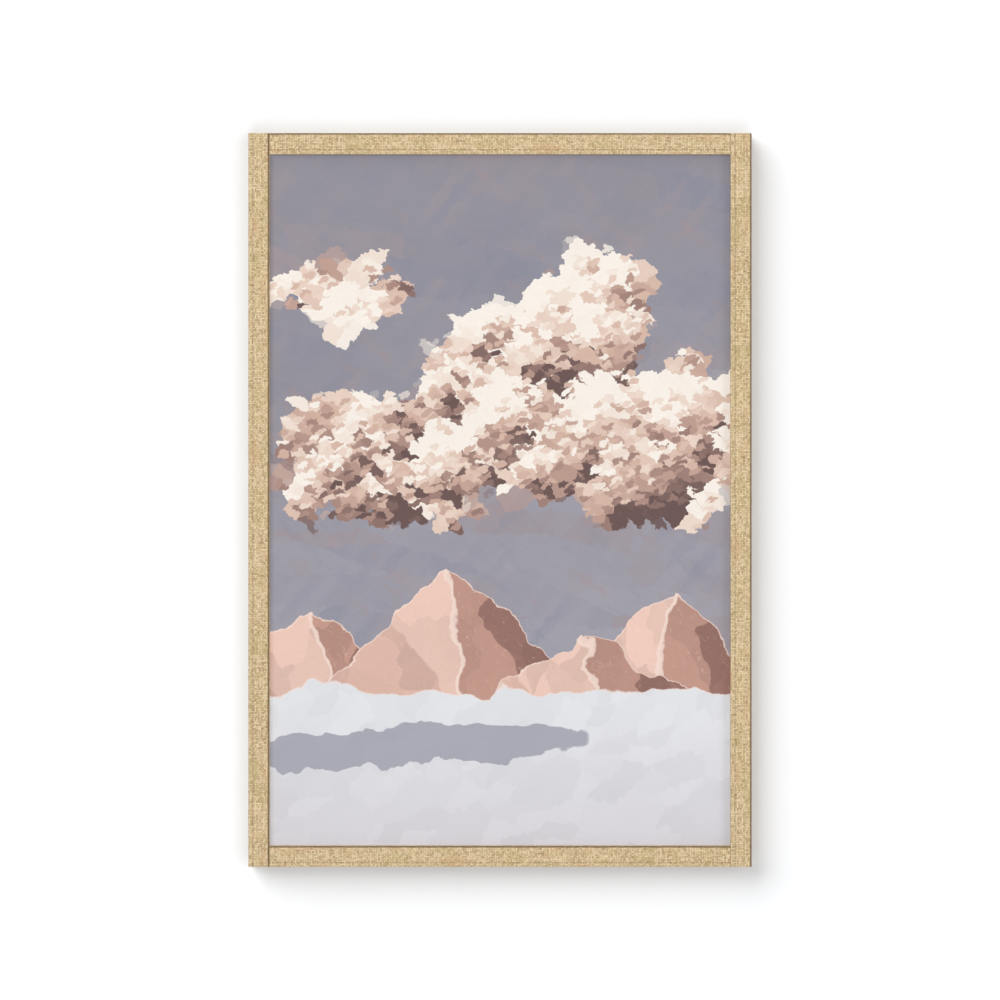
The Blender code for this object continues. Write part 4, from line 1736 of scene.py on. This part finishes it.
@dataclass
class Hardware:
    """What stays as the CAD model has it, and gets its finish here."""

    finishes: dict[str, bpy.types.Material]
    takes: tuple[tuple[str, str], ...] = (
        ("frame_stile", "frame upright"),
        ("frame_rail", "frame across"),
        ("stretcher_left", "bar upright"),
        ("stretcher_right", "bar upright"),
        ("stretcher", "bar across"),
        ("dowel", "dowel"),
        ("wall_pad", "rubber"),
        ("", "zinc"),
    )

    def finish_for(self, node: str) -> bpy.types.Material:
        """The finish that a node takes, by the start of its name."""
        return self.finishes[next(taken for start, taken in self.takes if node.startswith(start))]

    def dress(self) -> None:
        """Gives every CAD node that still shows its finish."""
        for name, node in sorted(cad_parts.items()):
            if not node.hide_render:
                coat(node, self.finish_for(name))
                log.info("%s: %s", name, node.data.materials[0].name)


class Lit(Enum):
    """What a lamp lights: everything but the wall, or the wall alone."""

    OBJECT = "EXCLUDE"
    WALL = "INCLUDE"


@dataclass(frozen=True)
class Lamp:
    """A soft light that points at the picture's middle, from a place that is counted from there.

    Its strength is in watts and its size is its side in metres, or for a sun a sun's own strength
    and its angle in degrees.
    """

    name: str
    lit: Lit
    place: Point
    strength: float
    size: float
    kind: str = "AREA"

    def hang(self, wall: bpy.types.Object) -> None:
        """Adds the light.

        Args:
            wall: The wall, which it lights alone or not at all.
        """
        data = bpy.data.lights.new(self.name, self.kind)
        data.energy = self.strength
        if self.kind == "AREA":
            data.shape, data.size = "SQUARE", self.size
        else:
            data.angle = math.radians(self.size)
        light = bpy.data.objects.new(self.name, data)
        bpy.context.scene.collection.objects.link(light)
        light.location = Vector(self.place) + Vector((0, 0, PICTURE_Z))
        light.rotation_euler = (-Vector(self.place)).to_track_quat("-Z", "Y").to_euler()
        group = bpy.data.collections.new(self.name)
        group.objects.link(wall)
        light.light_linking.receiver_collection = group
        group.collection_objects[0].light_linking.link_state = self.lit.value


@dataclass
class Studio:
    """The wall, the floor, the light and the camera."""

    lens: float = 150.0
    sensor: float = 36.0
    view_width: float = 1.3222
    wall_size: float = 7.0
    wall_middle: Point = (0, 0, -0.5)
    floor_size: float = 16.0
    floor_down: float = -2.0
    wall_paint: Colour = (0.85, 0.857, 0.868, 1.0)
    floor_tone: Colour = (0.72, 0.71, 0.7, 1.0)
    air_tone: Colour = (1.0, 1.0, 1.0, 1.0)
    air_light: float = 0.25
    air_seen: float = 0.84
    lamps: tuple[Lamp, ...] = (
        Lamp("front softbox", Lit.OBJECT, (-0.4, -4.6, 0.2), 106, 1.6),
        Lamp("key", Lit.OBJECT, (-3.0, -3.4, 2.0), 46, 1.2),
        Lamp("fill", Lit.OBJECT, (3.6, -2.2, -0.6), 45, 1.6),
        Lamp("fill above", Lit.OBJECT, (0.0, -1.5, 4.0), 34, 2.0),
        Lamp("fill below", Lit.OBJECT, (0.0, -1.5, -4.0), 26, 2.0),
        Lamp("back softbox left", Lit.OBJECT, (-1.9, 3.2, 1.6), 84, 1.6),
        Lamp("back softbox right", Lit.OBJECT, (1.6, 3.4, 0.4), 63, 1.6),
        Lamp("wall light upper left", Lit.WALL, (-1.05, -1, 1.05), 3.0, 60, "SUN"),
        Lamp("wall light right", Lit.WALL, (0.65, -1, 0), 0.84, 45, "SUN"),
        Lamp("wall light below", Lit.WALL, (0, -1, -0.65), 0.95, 45, "SUN"),
    )

    def build(self) -> None:
        """Sets up the studio."""
        upright = (math.radians(90), 0, 0)
        bpy.ops.object.select_all(action="DESELECT")
        bpy.ops.mesh.primitive_plane_add(
            size=self.wall_size, location=self.wall_middle, rotation=upright
        )
        wall = bpy.context.object
        self.backdrop(wall, "wall", self.one_sided)
        bpy.ops.mesh.primitive_plane_add(size=self.floor_size, location=(0, 0, self.floor_down))
        self.backdrop(bpy.context.object, "floor", self.pale)
        for lamp in self.lamps:
            lamp.hang(wall)
        self.air()
        self.camera()

    def backdrop(
        self, sheet: bpy.types.Object, name: str, shader: Callable[[Recipe], Wire]
    ) -> None:
        """Makes a sheet part of the studio, seen by the camera alone.

        Args:
            sheet: The sheet.
            name: Its name.
            shader: Makes its shader.
        """
        sheet.name = sheet.data.name = name
        for ray in ("diffuse", "glossy", "transmission", "shadow"):
            setattr(sheet, f"visible_{ray}", False)
        r = Recipe(name)
        sheet.data.materials.append(r.end(shader(r)))

    def one_sided(self, r: Recipe) -> Wire:
        """White paint on the front of a wall, and nothing on its back.

        Args:
            r: The recipe.

        Returns:
            The shader.
        """
        front = r.node("ShaderNodeBsdfDiffuse", {}, {"Color": self.wall_paint})
        clear = r.node("ShaderNodeBsdfTransparent", {}, {})
        behind = r.node("ShaderNodeNewGeometry", {}, {}, 6)
        return r.node("ShaderNodeMixShader", {}, {0: behind, 1: front, 2: clear})

    def pale(self, r: Recipe) -> Wire:
        """The floor's pale tone, evenly lit."""
        return r.node("ShaderNodeEmission", {}, {"Color": self.floor_tone})

    def air(self) -> None:
        """Fills the studio with an even light, and shows the camera a pale backdrop."""
        r = Recipe("studio", world=True)
        seen = r.node("ShaderNodeLightPath", {}, {})
        levels = {"Value": seen, "To Min": self.air_light, "To Max": self.air_seen}
        strength = r.node("ShaderNodeMapRange", {}, levels)
        light = {"Color": self.air_tone, "Strength": strength}
        bpy.context.scene.world = r.end(r.node("ShaderNodeBackground", {}, light))
        bpy.context.scene.view_settings.view_transform = "Standard"

    def camera(self) -> None:
        """The photograph's view: square on, with the picture's middle in the middle."""
        data = bpy.data.cameras.new("camera")
        data.lens, data.sensor_width = self.lens, self.sensor
        away = self.view_width * self.lens / self.sensor
        camera = bpy.data.objects.new("camera", data)
        bpy.context.scene.collection.objects.link(camera)
        camera.location = (0, Y_FRONT - away, PICTURE_Z)
        camera.rotation_euler = (math.radians(90), 0, 0)
        bpy.context.scene.camera = camera


def main() -> None:
    """Builds the picture's pieces in order, dresses them, and sets up the studio."""
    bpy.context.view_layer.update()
    # Each linen's painted shade runs along its step, at the sight edge or outside
    stepped_inside = GoldLinen("linen stepped inside", edge_shade_from=0.2 * MM, edge_shade_to=3.4 * MM)
    stepped_outside = GoldLinen("linen stepped outside", edge_shade_from=-1.9 * MM, edge_shade_to=3.05 * MM)
    linen = {True: stepped_inside.material(), False: stepped_outside.material()}
    for side in Side:
        wrap = LinenWrap(side)
        piece = wrap.build().obj
        wrap.dress(linen[side.step_at_sight])
        log.info("%s: %d faces", piece.name, len(piece.data.polygons))
    canvas = StretchedCanvas()
    primed = CottonDuck("primed canvas", paint(236, 234, 229), paint(214, 211, 204))
    raw = CottonDuck("raw canvas", paint(226, 215, 193), paint(196, 182, 156))
    canvas.build([finish.material() for finish in (Landscape(), primed, raw)])
    canvas.declare()
    zinc = ZincSteel().material()
    canvas.staples(zinc)
    pine = {"early": paint(222, 190, 145), "late": paint(190, 143, 92)}
    stock = {"early": paint(205, 176, 137), "late": paint(176, 140, 100)}
    stock |= {"knots": 0.0, "rings": 340.0}
    beech = {"early": paint(214, 178, 140), "late": paint(188, 146, 106), "knots": 0.0}
    woods = {
        "frame upright": Softwood("moulding wood upright", Grain.UPRIGHT, **stock),
        "frame across": Softwood("moulding wood across", Grain.ACROSS, **stock),
        "bar upright": Softwood("pine bar upright", Grain.UPRIGHT, **pine),
        "bar across": Softwood("pine bar across", Grain.ACROSS, **pine),
        "dowel": Softwood("beech dowel", Grain.ACROSS, **beech),
    }
    finishes = {name: wood.material() for name, wood in woods.items()}
    Hardware(finishes | {"rubber": PadRubber().material(), "zinc": zinc}).dress()
    Studio().build()


if __name__ == "__main__":
    main()
